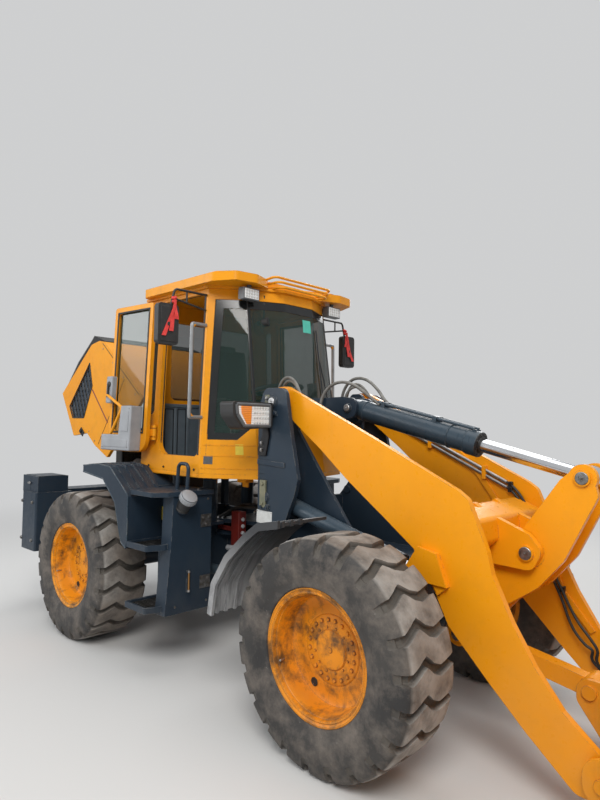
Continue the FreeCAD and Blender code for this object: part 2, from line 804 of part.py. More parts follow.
def cylinder_barrel(base, end, y, eye_half, barrel_r, rod_r, gland, pin_r, eye_r):
    """A barrel from its base eye to the gland; the bore leaves the rod a running gap."""
    def at(length):
        x, z = toward(base, end, length)
        return (x, y, z)
    body = rod(at(eye_r * 0.8), at(gland), barrel_r)
    collar = rod(at(gland - gland_length), at(gland), barrel_r + 7)
    eye = cross_rod(base, y - eye_half, y + eye_half, eye_r)
    whole = fuse([body, collar, eye])
    whole = whole.cut(cross_rod(base, y - 200, y + 200, pin_r + pin_gap))
    return whole.cut(rod(at(eye_r + 40), at(gland + 10), rod_r + pin_gap))


def cylinder_rod(base, end, y, eye_half, rod_r, start, eye_r):
    """A rod from inside the barrel to its eye at the far pin."""
    def at(length):
        x, z = toward(base, end, length)
        return (x, y, z)
    bar = rod(at(start), at(distance(base, end)), rod_r)
    return fuse([bar, cross_rod(end, y - eye_half, y + eye_half, eye_r)])


def lift_barrel(side):
    gland = distance(lift_base, lift_eye) - 95
    return cylinder_barrel(lift_base, lift_eye, side * arm_y, lift_base_half, lift_barrel_r,
                           lift_rod_r, gland, lift_pin_r, lift_pin_r + 24)


def lift_rod(side):
    return cylinder_rod(lift_base, lift_eye, side * arm_y, lift_eye_half, lift_rod_r, 105,
                        lift_pin_r + 14)


def tilt_barrel():
    barrel = cylinder_barrel(tilt_base, rocker_top, 0, tilt_eye_half, tilt_barrel_r, tilt_rod_r,
                             tilt_gland, tilt_pin_r, 2 * tilt_pin_r)
    angle = heading(tilt_base, rocker_top) + 90
    stand = tilt_barrel_r + pipe_r + 5
    parts = [barrel]
    spots = [toward(tilt_base, rocker_top, length) for length in (150, tilt_gland - 40)]
    for y in (-24, 24):
        ends = [polar(spot, stand, angle) for spot in spots]
        parts.append(rod((ends[0][0], y, ends[0][1]), (ends[1][0], y, ends[1][1]), pipe_r))
        drop = polar(spots[1], tilt_barrel_r - 10, angle)
        parts.append(rod((ends[1][0], y, ends[1][1]), (drop[0], y, drop[1]), pipe_r + 3))
    for length in (230, 620):
        foot = toward(tilt_base, rocker_top, length)
        clamp = [
            polar(foot, tilt_barrel_r - 20, angle), polar(foot, stand + pipe_r + 3, angle),
        ]
        parts.append(plate_y(bar_outline(clamp[0], clamp[1], 14), -38, 38))
    return fuse(parts)


def tilt_rod():
    return cylinder_rod(tilt_base, rocker_top, 0, tilt_eye_half, tilt_rod_r, 500, 58)


def steer_point(point, side):
    return Vector(point[0], side * point[1], steer_z)


def steer_barrel(side):
    base = steer_point(steer_base, side)
    run = steer_point(steer_front, side) - base
    length = 0.58 * run.Length
    axis = run.normalize()
    body = Part.makeCylinder(steer_barrel_r, length - 30, base + axis * 30, axis)
    eye = Part.makeCylinder(steer_eye_r, 2 * steer_eye_half, base - Vector(0, 0, steer_eye_half))
    whole = fuse([body, eye])
    hole = Part.makeCylinder(steer_pin_r + pin_gap, 300, base - Vector(0, 0, 150))
    bore = Part.makeCylinder(steer_rod_r + pin_gap, length, base + axis * 60, axis)
    return whole.cut(hole).cut(bore)


def steer_rod(side):
    base = steer_point(steer_base, side)
    tip = steer_point(steer_front, side)
    reach = base.distanceToPoint(tip)
    axis = (tip - base).normalize()
    bar = Part.makeCylinder(steer_rod_r, 0.65 * reach, base + axis * 0.35 * reach, axis)
    eye = Part.makeCylinder(steer_eye_r, 2 * steer_eye_half, tip - Vector(0, 0, steer_eye_half))
    return fuse([bar, eye])


def coupler():
    back_x = bucket_back_x - 22
    center_ear = around(coupler_top, [(-60, 60, 60)]) + [
        (back_x, coupler_top[1] + 60), (back_x, coupler_low_z + 20),
    ] + around(coupler_pin, [(60, -105, 50), (-70, -75, 50)]) + around(
        coupler_top, [(-62, -50, 55)])
    arm_ear = around(coupler_pin, [(-78, -78, 76)]) + [
        (back_x, coupler_low_z + 10), (back_x, coupler_top[1] - 10),
    ] + around(coupler_pin, [(-78, 78, 76)])
    ear_thick = 24
    parts = []
    half = arm_thick / 2 + 16
    for name, side in sides:
        y = side * arm_y
        for sign in (-1, 1):
            near = y + sign * (half + side_gap)
            parts.append(plate_y(arm_ear, near, near + sign * ear_thick))
        reach = half + side_gap + ear_thick + 12
        parts.append(cross_rod(coupler_pin, y - reach, y + reach, coupler_pin_r))
        near = side * (link_half + side_gap)
        parts.append(plate_y(center_ear, near, near + side * 26))
        parts.append(cross_rod(coupler_top, near, near + side * 38, 34))
    back = bucket_back_x - coupler_face
    front = bucket_back_x - seat_gap
    for z0, z1 in ((coupler_low_z, coupler_low_z + 80), (430, coupler_high_z)):
        parts.append(box(back, front, -coupler_half, coupler_half, z0, z1))
    for name, side in sides:
        for y0, y1 in ((340, coupler_half), (50, 120)):
            parts.append(box(back, front, side * y0, side * y1, coupler_low_z, coupler_high_z))
    return fuse(parts)


def bucket():
    x0 = bucket_back_x
    z0 = bucket_floor_z
    tip = x0 + bucket_depth
    outside = [
        (x0 + 180, z0, 150), (x0, z0 + 210, 150), (x0, z0 + 620, 200),
        (x0 + 130, z0 + bucket_height),
    ]
    skin = [(tip, z0)] + outside + [
        (x0 + 130 + bucket_plate, z0 + bucket_height - 8),
        (x0 + bucket_plate, z0 + 612, 190), (x0 + bucket_plate, z0 + 214, 140),
        (x0 + 186, z0 + bucket_plate, 140), (tip - 90, z0 + bucket_plate),
    ]
    cheek = [(tip - 30, z0)] + outside + [
        (x0 + 260, z0 + bucket_height - 40), (tip - 60, z0 + 170), (tip - 20, z0 + 60),
    ]
    edge = [
        (tip - 120, z0), (tip + bucket_lip, z0), (tip + bucket_lip, z0 + 6), (tip - 10, z0 + 28),
        (tip - 120, z0 + 28),
    ]
    half = bucket_width / 2
    parts = [plate_y(skin, -half, half), plate_y(edge, -half, half)]
    for name, side in sides:
        parts.append(plate_y(cheek, side * half, side * (half - bucket_plate)))
    return fuse(parts)


def counterweight():
    rear_x = rear_axle_x - 1215
    front_x = rear_axle_x - 785
    half_plan = [(rear_x, 700, 60), (rear_x + 100, 920, 60), (front_x - 20, 920, 20),
                 (front_x, 600, 20)]
    plan = half_plan + [(x, -y, r) for x, y, r in reversed(half_plan)]
    whole = plate_z(plan, 550, 1070)
    whole = whole.cut(box(rear_axle_x - 975, rear_axle_x - 675, -590, 590, 975, 1100))
    parts = [whole]
    for name, side in sides:
        parts.append(box(rear_x + 70, front_x - 30, side * 620, side * 900, 1065, 1215))
    parts.append(box(front_x - 10, rail_rear_x - seat_gap, -280, 280, 740, 960))
    for z in (tow_low_z, tow_high_z):
        parts.append(box(tow_end_x, rear_x + 10, -tow_half, tow_half, z, z + tow_plate))
    tow_hole = rod((tow_x, 0, tow_low_z - 40), (tow_x, 0, tow_high_z + 75), tow_hole_r)
    return fuse(parts).cut(tow_hole)


def rear_fenders():
    upper = from_rear([
        (215, 1378), (465, 1400, 200), (625, 1388, 60), (861, 1222, 20), (885, 1196), (885, 880),
    ])
    lower = from_rear([
        (857, 880), (857, 1184), (845, 1200, 20), (615, 1360, 60), (463, 1372, 200), (215, 1350),
    ])
    lip = from_rear([
        (871, 838), (808, 872), (706, 1143, 60), (528, 1296, 80), (215, 1331),
    ])
    cab_side = side_low_y + cab_clear
    notch = box(cab_rear_x - 15, 0, -cab_side, cab_side, cab_floor_z - cab_clear, 1500)
    beside_tank = box(tank_front_x - 395, 0, -tank_side_y - 5, tank_side_y + 5, 0, 1330)
    parts = []
    for name, side in sides:
        band = plate_y(upper + lower, side * guard_inner_y, side * guard_outer_y)
        band = band.cut(notch).cut(beside_tank)
        skirt = plate_y(upper + lip, side * (guard_outer_y - skirt_thick), side * guard_outer_y)
        ribs = []
        for y in (700, 770, 840, 910):
            crown = plate_y(inset(upper[:4] + lower[2:], -9), side * y, side * (y + 26))
            ribs.append(crown.cut(notch).cut(beside_tank))
        parts.append(fuse([band, skirt] + ribs))
    return Part.makeCompound(parts)


def tank(side, with_filler):
    """A tank beside the rear frame, with a ladder's two steps behind its wide front."""
    front_x = tank_front_x
    back_x = front_x - 370
    ladder_x = column_front_x + seat_gap
    deck_low = deck_top_z - deck_thick
    top = deck_low + 2
    inner = side * tank_inner_y
    body = [
        (back_x, tank_low_z + 50), (front_x - 40, tank_low_z), (front_x, tank_low_z + 10),
        (front_x, top), (back_x, top),
    ]
    front = [
        (inner, top), (side * 830, top), (side * 840, 900), (side * 880, tank_low_z),
        (inner, tank_low_z),
    ]
    deck = [
        (back_x, inner), (back_x, side * tank_side_y), (ladder_x, side * tank_side_y),
        (ladder_x, side * 970, 20), (front_x - 50, side * 970, 30), (front_x + 10, side * 880, 30),
        (front_x + 20, inner),
    ]
    step = [
        (ladder_x, side * (tank_side_y - 10)), (ladder_x, side * guard_outer_y),
        (front_x - 80, side * guard_outer_y, 20), (front_x - 40, side * 860, 20),
        (front_x - 40, side * (tank_side_y - 10)),
    ]
    parts = [
        plate_y(body, inner, side * tank_side_y), plate_x(front, front_x - 120, front_x),
        plate_z(deck, deck_low, deck_top_z),
    ]
    for z0 in (step_high_z, step_low_z):
        tray = plate_z(step, z0, z0 + step_thick)
        well = plate_z(inset([p[:2] for p in step], 16), z0 + 12, z0 + step_thick + 10)
        parts.append(tray.cut(well))
    if with_filler:
        filler_y = side * 760
        neck = rod((front_x - 10, filler_y, 1120), (front_x + 60, filler_y, 1195), 45)
        cap = rod((front_x + 58, filler_y, 1192), (front_x + 86, filler_y, 1222), 58)
        gauge = box(front_x - 2, front_x + 9, side * 690, side * 712, 555, 700)
        parts += [neck, cap, gauge]
    rail_side = side * (rail_y + rail_thick + seat_gap)
    parts.append(box(back_x, back_x + 50, rail_side, inner + side * 10, 760, 840))
    handle_y = side * 715
    handle = tube_path([
        (front_x - 130, handle_y, deck_top_z - 5), (front_x - 115, handle_y, 1430),
        (front_x + 5, handle_y, 1430), (front_x - 10, handle_y, deck_top_z - 5),
    ], 13, 40)
    parts.append(handle)
    return fuse(parts)


def side_at(z):
    """Half the cab's width at a height, as its sides lean in."""
    return side_low_y + (side_top_y - side_low_y) * (z - cab_floor_z) / cab_height


def cab_corners(z):
    """The cab's outline in plan at a height; the nose narrows upward too."""
    share = (z - cab_floor_z) / cab_height
    side_y = side_at(z)
    cheek_x = cab_pillar_x + 360 - 190 * share
    cheek_y = 425 - 20 * share
    front_x = cab_pillar_x + 440 - 150 * share
    return [
        (cab_rear_x, -side_y), (cab_pillar_x, -side_y), (cheek_x, -cheek_y), (front_x, -150),
        (front_x, 150), (cheek_x, cheek_y), (cab_pillar_x, side_y), (cab_rear_x, side_y),
    ]


def cab_loft(gap, z0, z1):
    wires = []
    for z in (z0, z1):
        corners = [Vector(x, y, z) for x, y in inset(cab_corners(z), gap)]
        wires.append(Part.makePolygon(corners + [corners[0]]))
    return Part.makeLoft(wires, True, True)


def cab_shell():
    wide = side_low_y + 240
    shell = cab_loft(0, cab_floor_z, cab_top_z)
    shell = shell.cut(cab_loft(cab_wall, cab_floor_z + cab_floor_thick, cab_top_z + 20))
    shell = shell.cut(plate_y(windshield_side, -wide, wide))
    shell = shell.cut(plate_y(door_opening, -wide, wide))
    shell = shell.cut(plate_x(rear_window, cab_rear_x - 50, cab_rear_x + 100))
    return shell.cut(plate_y(quarter_window, -wide, wide))


def cab_floor_space():
    wide = side_low_y + 240
    return box(cab_rear_x - 180, cab_pillar_x + 860, -wide, wide, cab_floor_z - 10,
               cab_floor_z + cab_floor_thick)


def cab_nose_space():
    wide = side_low_y + 240
    return box(cab_nose_x, cab_pillar_x + 860, -wide, wide, cab_floor_z + cab_floor_thick,
               cab_sill_z)


def cab_frame():
    """Pillars, rear wall, sills and roof ring, with the grab handles and the door's hinge lugs."""
    shell = cab_shell().cut(cab_floor_space()).cut(cab_nose_space())
    high_z = cab_top_z - 265
    low_z = cab_floor_z + 420
    out = side_low_y + 82
    handle = tube_path([
        (grab_x, 10 - side_top_y, high_z), (grab_x, -out, high_z), (grab_x, -out - 10, low_z),
        (grab_x, 35 - side_low_y, low_z),
    ], grab_r, 40)
    lugs = door_hinge_lugs()
    return fuse([shell, handle, mirrored(handle), lugs, mirrored(lugs)])


def cab_glass():
    wide = side_low_y + 240
    outer = cab_loft(glass_inset, cab_floor_z + 5, cab_top_z - 5)
    pane = outer.cut(cab_loft(glass_inset + glass_thick, cab_floor_z, cab_top_z))
    front = pane.common(plate_y(inset(windshield_side, pane_gap), -wide, wide))
    quarters = pane.common(plate_y(inset(quarter_window, pane_gap), -wide, wide))
    rear = pane.common(plate_x(inset(rear_window, pane_gap), cab_rear_x - 50, cab_rear_x + 100))
    return Part.makeCompound(front.Solids + quarters.Solids + rear.Solids)


def cab_roof():
    low = cab_top_z + seat_gap
    slab_z = cab_top_z + roof_rise
    top_z = slab_z + roof_thick
    half_plan = [
        (15, -roof_half, 60), (890, -roof_half, 80), (1055, -610, 40), (1085, -440, 60),
        (1020, -280, 40), (960, -250, 30),
    ]
    plan = [(cab_rear_x + x, y, r) for x, y, r in half_plan]
    plan += [(x, -y, r) for x, y, r in reversed(plan)]
    cap_half = [(60, -630, 50), (860, -630, 70), (985, -540, 60), (1000, -430, 60), (910, -220, 40)]
    cap_plan = [(cab_rear_x + x, y, r) for x, y, r in cap_half]
    cap_plan += [(x, -y, r) for x, y, r in reversed(cap_plan)]
    parts = [
        plate_z(inset(cab_corners(cab_top_z), -20), low, slab_z + 2),
        plate_z(plan, slab_z, top_z), plate_z(cap_plan, top_z - 2, top_z + roof_cap),
    ]
    root_x = cab_rear_x + 930
    for front_x, z, y in ((1112, top_z + 8, 300), (1130, slab_z + 2, 240), (1124, slab_z + 36, 270)):
        end_z = min(max(z, slab_z + 12), top_z - 12)
        parts.append(tube_path([
            (root_x, -y, end_z), (cab_rear_x + front_x, -y, z), (cab_rear_x + front_x, y, z),
            (root_x, y, end_z),
        ], rack_r, 40))
    return fuse(parts)


def door_outline():
    front = door_front_x - door_gap
    return [
        (door_hinge_x + 14, door_low_z + 31, 106), (front, door_low_z + 31, 36),
        (front, door_top_z - door_gap, 26), (door_hinge_x + 14, door_top_z - door_gap, 26),
    ]


def door_window():
    rear = door_hinge_x + 14 + door_stile
    front = door_front_x - door_gap - door_stile
    low = door_low_z + 178
    high = door_top_z - door_gap - door_stile
    return [(rear, low, 60), (front, low, 60), (front, high, 30), (rear, high, 30)]


def door_flat(points, near, far):
    """A right-door piece: an (x, z) outline from the outer skin inward, leaned with the cab side."""
    return lean_in(plate_y(points, near - side_low_y, far - side_low_y))


def door_axis():
    """A point and the direction of the right door's hinge line."""
    point = Vector(door_hinge_x - 6, -door_pivot_y, cab_floor_z)
    return point, Vector(0, side_low_y - side_top_y, cab_height).normalize()


def hinge_center(z):
    point, axis = door_axis()
    return point + axis * (z - cab_floor_z)


def rect(x0, x1, z0, z1):
    return [(x0, z0), (x1, z0), (x1, z1), (x0, z1)]


def door_frame_closed():
    window = door_window()
    rear = window[0][0]
    front = window[1][0]
    sill = window[0][1]
    panel = door_flat(door_outline(), 2, 2 + door_thick).cut(door_flat(window, -30, 90))
    bin_low = door_low_z + 45
    bin_top = sill - 25
    bin_rear = rear + 30
    tray = [
        (bin_rear, bin_low), (front - 20, bin_low), (front - 20, bin_top, 20),
        (rear + 170, bin_top), (rear + 150, bin_top + 220, 30), (bin_rear, bin_top + 220),
    ]
    latch = rect(front - 40, front + door_stile - 8, sill + 230, sill + 440)
    parts = [
        panel, door_flat(tray, door_thick, door_thick + 95),
        door_flat(latch, door_thick, door_thick + 48),
    ]
    out = door_thick + 60
    rail_x = front - 60
    grip = tube_path([
        (rail_x, door_thick - 2, sill - 60), (rail_x, out, sill - 40),
        (rail_x - 150, out, sill + 190), (front + 20, out, sill + 300),
        (front + 20, door_thick - 2, sill + 320),
    ], 11, 26)
    grip.translate(Vector(0, -side_low_y, 0))
    parts.append(lean_in(grip))
    axis = door_axis()[1]
    leaf = door_hinge_x - 6
    for z in door_hinge_zs:
        parts.append(Part.makeCylinder(
            knuckle_r, 2 * knuckle_half, hinge_center(z) - axis * knuckle_half, axis))
        low = z - knuckle_half + 2
        high = z + knuckle_half - 2
        parts.append(door_flat(rect(leaf, leaf + 50, low, high), -32, -16))
        parts.append(door_flat(rect(leaf + 24, leaf + 50, low, high), -17, 6))
    whole = fuse(parts)
    for z in door_hinge_zs:
        start = hinge_center(z) - axis * 60
        whole = whole.cut(Part.makeCylinder(hinge_pin_r + pin_gap, 120, start, axis))
    return whole


def lean_in(shape):
    """Leans an upright right-side piece in with the cab's side."""
    lean = math.degrees(math.atan2(side_low_y - side_top_y, cab_height))
    shape.rotate(Vector(0, -side_low_y, cab_floor_z), Vector(1, 0, 0), -lean)
    return shape


def door_hinge_lugs():
    # the right side's hinge pins, each held above and below by a lug on the pillar
    axis = door_axis()[1]
    leaf = door_hinge_x - 6
    parts = []
    for z in door_hinge_zs:
        center = hinge_center(z)
        parts.append(Part.makeCylinder(hinge_pin_r, 120, center - axis * 60, axis))
        for sign in (-1, 1):
            rise = sign * (knuckle_half + lug_half + 5)
            start = center + axis * (rise - lug_half)
            parts.append(Part.makeCylinder(knuckle_r, 2 * lug_half, start, axis))
            low = z + rise - lug_half
            high = z + rise + lug_half
            parts.append(door_flat(rect(leaf - 50, leaf, low, high), -32, -16))
            parts.append(door_flat(rect(leaf - 50, leaf - 24, low, high), -17, 6))
    return fuse(parts)


def door_glass_closed():
    return door_flat(inset(door_window(), pane_gap), 12, 18)


def right_door_open(shape):
    point, axis = door_axis()
    shape.rotate(point, axis, -door_open_deg)
    return shape


hood_outline = around(hood_hinge, [
    (0, 0), (-855, 0, 40), (-936, -42, 40), (-1038, -148, 30), (-1236, -843), (-774, -1008),
    (-580, -825), (-390, -818), (-150, -760),
])
hood_side_window = around(hood_hinge, [
    (-958, -297, 15), (-777, -434, 15), (-719, -755, 15), (-902, -892, 15), (-1026, -845, 15),
])
hood_wall = (hood_outline[3][:2], hood_outline[4][:2])
hood_vent_half = 400.0
hood_vent_run = (70.0, 610.0)


def wall_strip(start, end, near, far):
    """A side view strip of the hood's rear wall, by its run down the wall and its depths."""
    angle = heading(hood_wall[0], hood_wall[1])
    corners = []
    for run, depth in ((start, near), (end, near), (end, far), (start, far)):
        spot = toward(hood_wall[0], hood_wall[1], run)
        corners.append(polar(spot, depth, angle + 90))
    return corners


def hood_closed():
    x, z = hood_hinge
    body = plate_y(hood_outline, -hood_half, hood_half)
    inside = around(hood_hinge, [
        (50, -hood_skin), (-845, -hood_skin, 30), (-915, -62, 20), (-1010, -160, 20),
        (-1204, -840), (-1260, -1200), (50, -1200),
    ])
    inner = hood_half - hood_skin
    whole = body.cut(plate_y(inside, -inner, inner))
    whole = whole.cut(plate_y(hood_side_window, -hood_half - 20, hood_half + 20))
    vent = plate_y(wall_strip(*hood_vent_run, -60, 70), -hood_vent_half, hood_vent_half)
    whole = whole.cut(vent)
    parts = [whole]
    for name, side in sides:
        near = side * (hood_ear_y + hood_ear_half + side_gap)
        knuckle = cross_rod(hood_hinge, near, near + side * 50, 2 * hood_pin_r)
        arm = box(x - 60, x + 5, near, near + side * 50, z - 30, z - 10)
        parts += [knuckle, arm]
    whole = fuse(parts)
    for name, side in sides:
        y = side * hood_ear_y
        reach = hood_ear_half + side_gap
        whole = whole.cut(box(x - 30, x + 30, y - reach, y + reach, z - 60, z + 20))
        whole = whole.cut(cross_rod(hood_hinge, y, y + side * 90, hood_pin_r + pin_gap))
    return whole


def hood_grille_closed():
    """Louvres in the hood's side windows and across its rear wall."""
    pieces = []
    outline = inset(hood_side_window, pane_gap)
    for name, side in sides:
        near = side * (hood_half - 20)
        far = side * (hood_half - 8)
        pieces.append(slatted(outline, min(near, far), max(near, far), 20, 44, 24, 38))
    half = hood_vent_half - pane_gap
    start = hood_vent_run[0] + pane_gap
    end = hood_vent_run[1] - pane_gap
    rear = []
    for y0, y1 in ((-half, 30 - half), (-15, 15), (half - 30, half)):
        rear.append(plate_y(wall_strip(start, end, 6, 22), y0, y1))
    count = 11
    pitch = (end - start - 26) / (count - 1)
    for i in range(count):
        run = start + i * pitch
        rear.append(plate_y(wall_strip(run, run + 26, 6, 20), -half, half))
    pieces.append(fuse(rear))
    return Part.makeCompound(pieces)


def front_fenders():
    upper = from_front([
        (-270, 1190), (-420, 1162, 80), (-531, 1084, 60), (-684, 950, 80), (-801, 778, 60),
        (-828, 609),
    ])
    lower = from_front([
        (-810, 606), (-783, 771, 60), (-670, 937, 80), (-522, 1068, 60), (-414, 1144, 80),
        (-270, 1172),
    ])
    deep = inset(upper + lower, -12)
    rib = inset(upper + lower, -7)
    inner = guard_inner_y + 25
    parts = []
    for name, side in sides:
        tower_face = side * (tower_outer_y + tower_outer_thick + seat_gap)
        guard = plate_y(upper + lower, side * inner, side * guard_outer_y)
        pieces = [guard, box(front_axle_x - 765, front_axle_x - 565, tower_face,
                             side * (inner + 15), 950, 990)]
        pieces.append(plate_y(deep, side * (guard_outer_y - 18), side * guard_outer_y))
        for y in (790, 860, 925):
            pieces.append(plate_y(rib, side * y, side * (y + 20)))
        parts.append(fuse(pieces))
    return Part.makeCompound(parts)


def headlamps():
    tower_face = tower_outer_y + tower_outer_thick + seat_gap
    face_half = [(540, 1692, 15), (540, 1850, 12), (872, 1850, 22), (866, 1765, 60), (790, 1676, 60)]
    arm = from_front([
        (-925, 1510, 20), (-855, 1510, 20), (-825, 1640), (-845, 1720), (-885, 1720),
        (-885, 1640),
    ])
    parts = []
    for name, side in sides:
        face = [(side * y, z, r) for y, z, r in face_half]
        housing = plate_x(face, front_axle_x - 905, front_axle_x - 780)
        bracket = plate_y(arm, side * tower_face, side * (tower_face + 12))
        shelf = box(front_axle_x - 895, front_axle_x - 835, side * (tower_face + 2), side * 560,
                    1700, 1712)
        bolts = [cross_rod((front_axle_x - 890, z), side * (tower_face + 10),
                           side * (tower_face + 22), 11) for z in (1545, 1590)]
        parts.append(fuse([housing, bracket, shelf] + bolts))
    return Part.makeCompound(parts)


def work_lamps():
    slab_z = cab_top_z + roof_rise
    back_x = cab_rear_x + 970
    parts = []
    for name, side in sides:
        y = side * lamp_y
        body = box(back_x, back_x + 55, y - lamp_half, y + lamp_half, cab_top_z - 90, cab_top_z - 8)
        stem = box(back_x + 15, back_x + 35, y - 12, y + 12, cab_top_z - 10, slab_z - seat_gap)
        parts.append(fuse([body, stem]))
    return Part.makeCompound(parts)


def mirrors():
    arm_r = 8
    head_x = cab_pillar_x - 20
    root_x = cab_pillar_x - 20
    parts = []
    for name, side in sides:
        high = cab_top_z - 47
        low = cab_top_z - 157
        high_root = side * (side_at(high - arm_r) + seat_gap)
        low_root = side * (side_at(low - arm_r) + 5 * seat_gap)
        upper = tube_path([
            (root_x, high_root, high), (root_x, side * 880, high), (head_x, side * 915, low - 20),
        ], arm_r, 30)
        lower = rod((root_x, low_root, low), (head_x, side * 890, high - 65), arm_r - 1)
        link = rod((root_x, side * 782, high), (root_x, side * 782, low + 27), arm_r - 2)
        outline = [
            (side * 862, 2235), (side * 862, 2510), (side * 1022, 2510), (side * 1022, 2235),
        ]
        head = plate_x([(y, cab_top_z - 2670 + z, 28) for y, z in outline],
                       head_x - 22, head_x + 26)
        parts.append(fuse([upper, lower, link, head]))
    return Part.makeCompound(parts)


def seat():
    x = cab_rear_x
    floor = cab_floor_z + cab_floor_thick + seat_gap
    base = box(x + 260, x + 640, -190, 190, floor, cab_floor_z + 370)
    cushion = plate_y([
        (x + 200, cab_floor_z + 355, 40), (x + 720, cab_floor_z + 365, 50),
        (x + 720, cab_floor_z + 465, 40), (x + 280, cab_floor_z + 455),
    ], -240, 240)
    back = plate_y([
        (x + 180, cab_floor_z + 385), (x + 300, cab_floor_z + 405),
        (x + 220, cab_floor_z + 1015, 40), (x + 120, cab_floor_z + 1005, 40),
    ], -230, 230)
    return fuse([base, cushion, back])


def steering_wheel():
    floor = cab_floor_z + cab_floor_thick + seat_gap
    foot_x = cab_rear_x + 945
    wheel_x = cab_rear_x + 840
    wheel_z = cab_floor_z + 645
    foot = box(foot_x - 65, foot_x + 65, -70, 70, floor, cab_floor_z + 110)
    column = rod((foot_x, 0, cab_floor_z + 100), (wheel_x, 0, wheel_z), 45)
    axis = Vector(wheel_x - foot_x, 0, wheel_z - cab_floor_z).normalize()
    center = Vector(wheel_x, 0, wheel_z)
    wheel_ring = Part.makeTorus(190, 14, center, axis)
    spokes = []
    across = axis.cross(Vector(0, 1, 0)).normalize()
    for degrees in (90, 210, 330):
        angle = math.radians(degrees)
        out = across * math.cos(angle) + Vector(0, 1, 0) * math.sin(angle)
        spokes.append(Part.makeCylinder(9, 190, center, out))
    return fuse([foot, column, wheel_ring] + spokes)


def engine_block():
    x = rear_axle_x
    seat_z = rail_bottom + 80 + seat_gap
    return fuse([
        box(x - 395, x + 275, -230, 230, seat_z, 1350),
        box(x - 325, x + 175, -150, 150, 1350, 1480), box(x + 275, x + 425, -160, 160, 820, 1150),
    ])


def radiator():
    x = rear_axle_x - 575
    return box(x, x + 100, -270, 270, rail_bottom + 80 + seat_gap, 1650)


nodes = {}
for name, side in sides:
    for end, x in (("front", front_axle_x), ("rear", rear_axle_x)):
        nodes["tyre_" + end + "_" + name] = tyre(x, side)
        nodes["rim_" + end + "_" + name] = rim(x, side)
    nodes["lift_barrel_" + name] = lift_barrel(side)
    nodes["lift_rod_" + name] = lift_rod(side)
    nodes["steer_barrel_" + name] = steer_barrel(side)
    nodes["steer_rod_" + name] = steer_rod(side)
nodes["front_axle"] = axle(front_axle_x, -1)
nodes["rear_axle"] = axle(rear_axle_x, 1)
nodes["rear_frame"] = rear_frame()
nodes["hood_posts"] = Part.makeCompound([hood_post(side) for name, side in sides])
nodes["front_frame"] = front_frame()
nodes["boom"] = boom()
nodes["rocker"] = rocker()
nodes["tilt_link"] = tilt_link()
nodes["tilt_barrel"] = tilt_barrel()
nodes["tilt_rod"] = tilt_rod()
nodes["coupler"] = coupler()
nodes["bucket"] = bucket()
nodes["counterweight"] = counterweight()
nodes["rear_fenders"] = rear_fenders()
nodes["fuel_tank"] = tank(-1, True)
nodes["hydraulic_tank"] = tank(1, False)
nodes["cab_frame"] = cab_frame()
nodes["cab_floor"] = cab_shell().common(cab_floor_space())
nodes["cab_nose"] = cab_shell().common(cab_nose_space())
nodes["cab_glass"] = cab_glass()
nodes["cab_roof"] = cab_roof()
nodes["seat"] = seat()
nodes["steering_wheel"] = steering_wheel()
nodes["mirrors"] = mirrors()
nodes["work_lamps"] = work_lamps()
nodes["headlamps"] = headlamps()
nodes["front_fenders"] = front_fenders()
nodes["engine_block"] = engine_block()
nodes["radiator"] = radiator()
nodes["hood"] = turned(hood_closed(), hood_hinge, -hood_open_deg)
nodes["hood_grille"] = turned(hood_grille_closed(), hood_hinge, -hood_open_deg)
nodes["door_right"] = right_door_open(door_frame_closed())
nodes["door_right_glass"] = right_door_open(door_glass_closed())
nodes["door_left"] = mirrored(door_frame_closed())
nodes["door_left_glass"] = mirrored(door_glass_closed())

os.makedirs("parts", exist_ok=True)
for name, shape in nodes.items():
    shape.translate(Vector(shift_x, 0, 0))
    shape.exportStep("parts/" + name + ".step")
    size = shape.BoundBox
    print(name, len(shape.Solids), shape.isValid(), round(shape.Volume / 1e9, 4),
          [round(v) for v in (size.XMin, size.XMax, size.YMin, size.YMax, size.ZMin, size.ZMax)])
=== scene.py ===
import bpy
import bmesh
import math
from functools import partial
from mathutils import Matrix, Vector


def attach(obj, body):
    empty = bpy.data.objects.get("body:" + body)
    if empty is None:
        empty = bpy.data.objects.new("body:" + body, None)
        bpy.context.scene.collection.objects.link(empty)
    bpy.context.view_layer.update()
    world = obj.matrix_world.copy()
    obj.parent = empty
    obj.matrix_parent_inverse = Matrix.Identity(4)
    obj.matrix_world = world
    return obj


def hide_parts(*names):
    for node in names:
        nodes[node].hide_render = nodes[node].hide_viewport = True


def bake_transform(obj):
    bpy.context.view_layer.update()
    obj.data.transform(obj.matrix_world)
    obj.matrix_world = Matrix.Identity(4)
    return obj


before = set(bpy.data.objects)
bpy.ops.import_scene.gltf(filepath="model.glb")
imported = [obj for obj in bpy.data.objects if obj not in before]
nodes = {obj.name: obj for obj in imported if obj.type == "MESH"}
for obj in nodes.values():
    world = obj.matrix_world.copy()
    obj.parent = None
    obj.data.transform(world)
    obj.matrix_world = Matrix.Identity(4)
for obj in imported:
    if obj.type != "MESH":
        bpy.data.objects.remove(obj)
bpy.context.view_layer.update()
shift = -0.545    # metres from the steering hitch, where x is counted here, to the model's own origin
print("frame loaded:", len(nodes), "nodes")


# A shader node with its sockets filled: a value is set, and another node's output is linked.
def addNode(tree, kind, inputs=None, **settings):
    made = tree.nodes.new(kind)
    for key, value in settings.items():
        setattr(made, key, value)
    for key, value in (inputs or {}).items():
        if isinstance(value, bpy.types.NodeSocket):
            tree.links.new(value, made.inputs[key])
        else:
            made.inputs[key].default_value = value
    return made


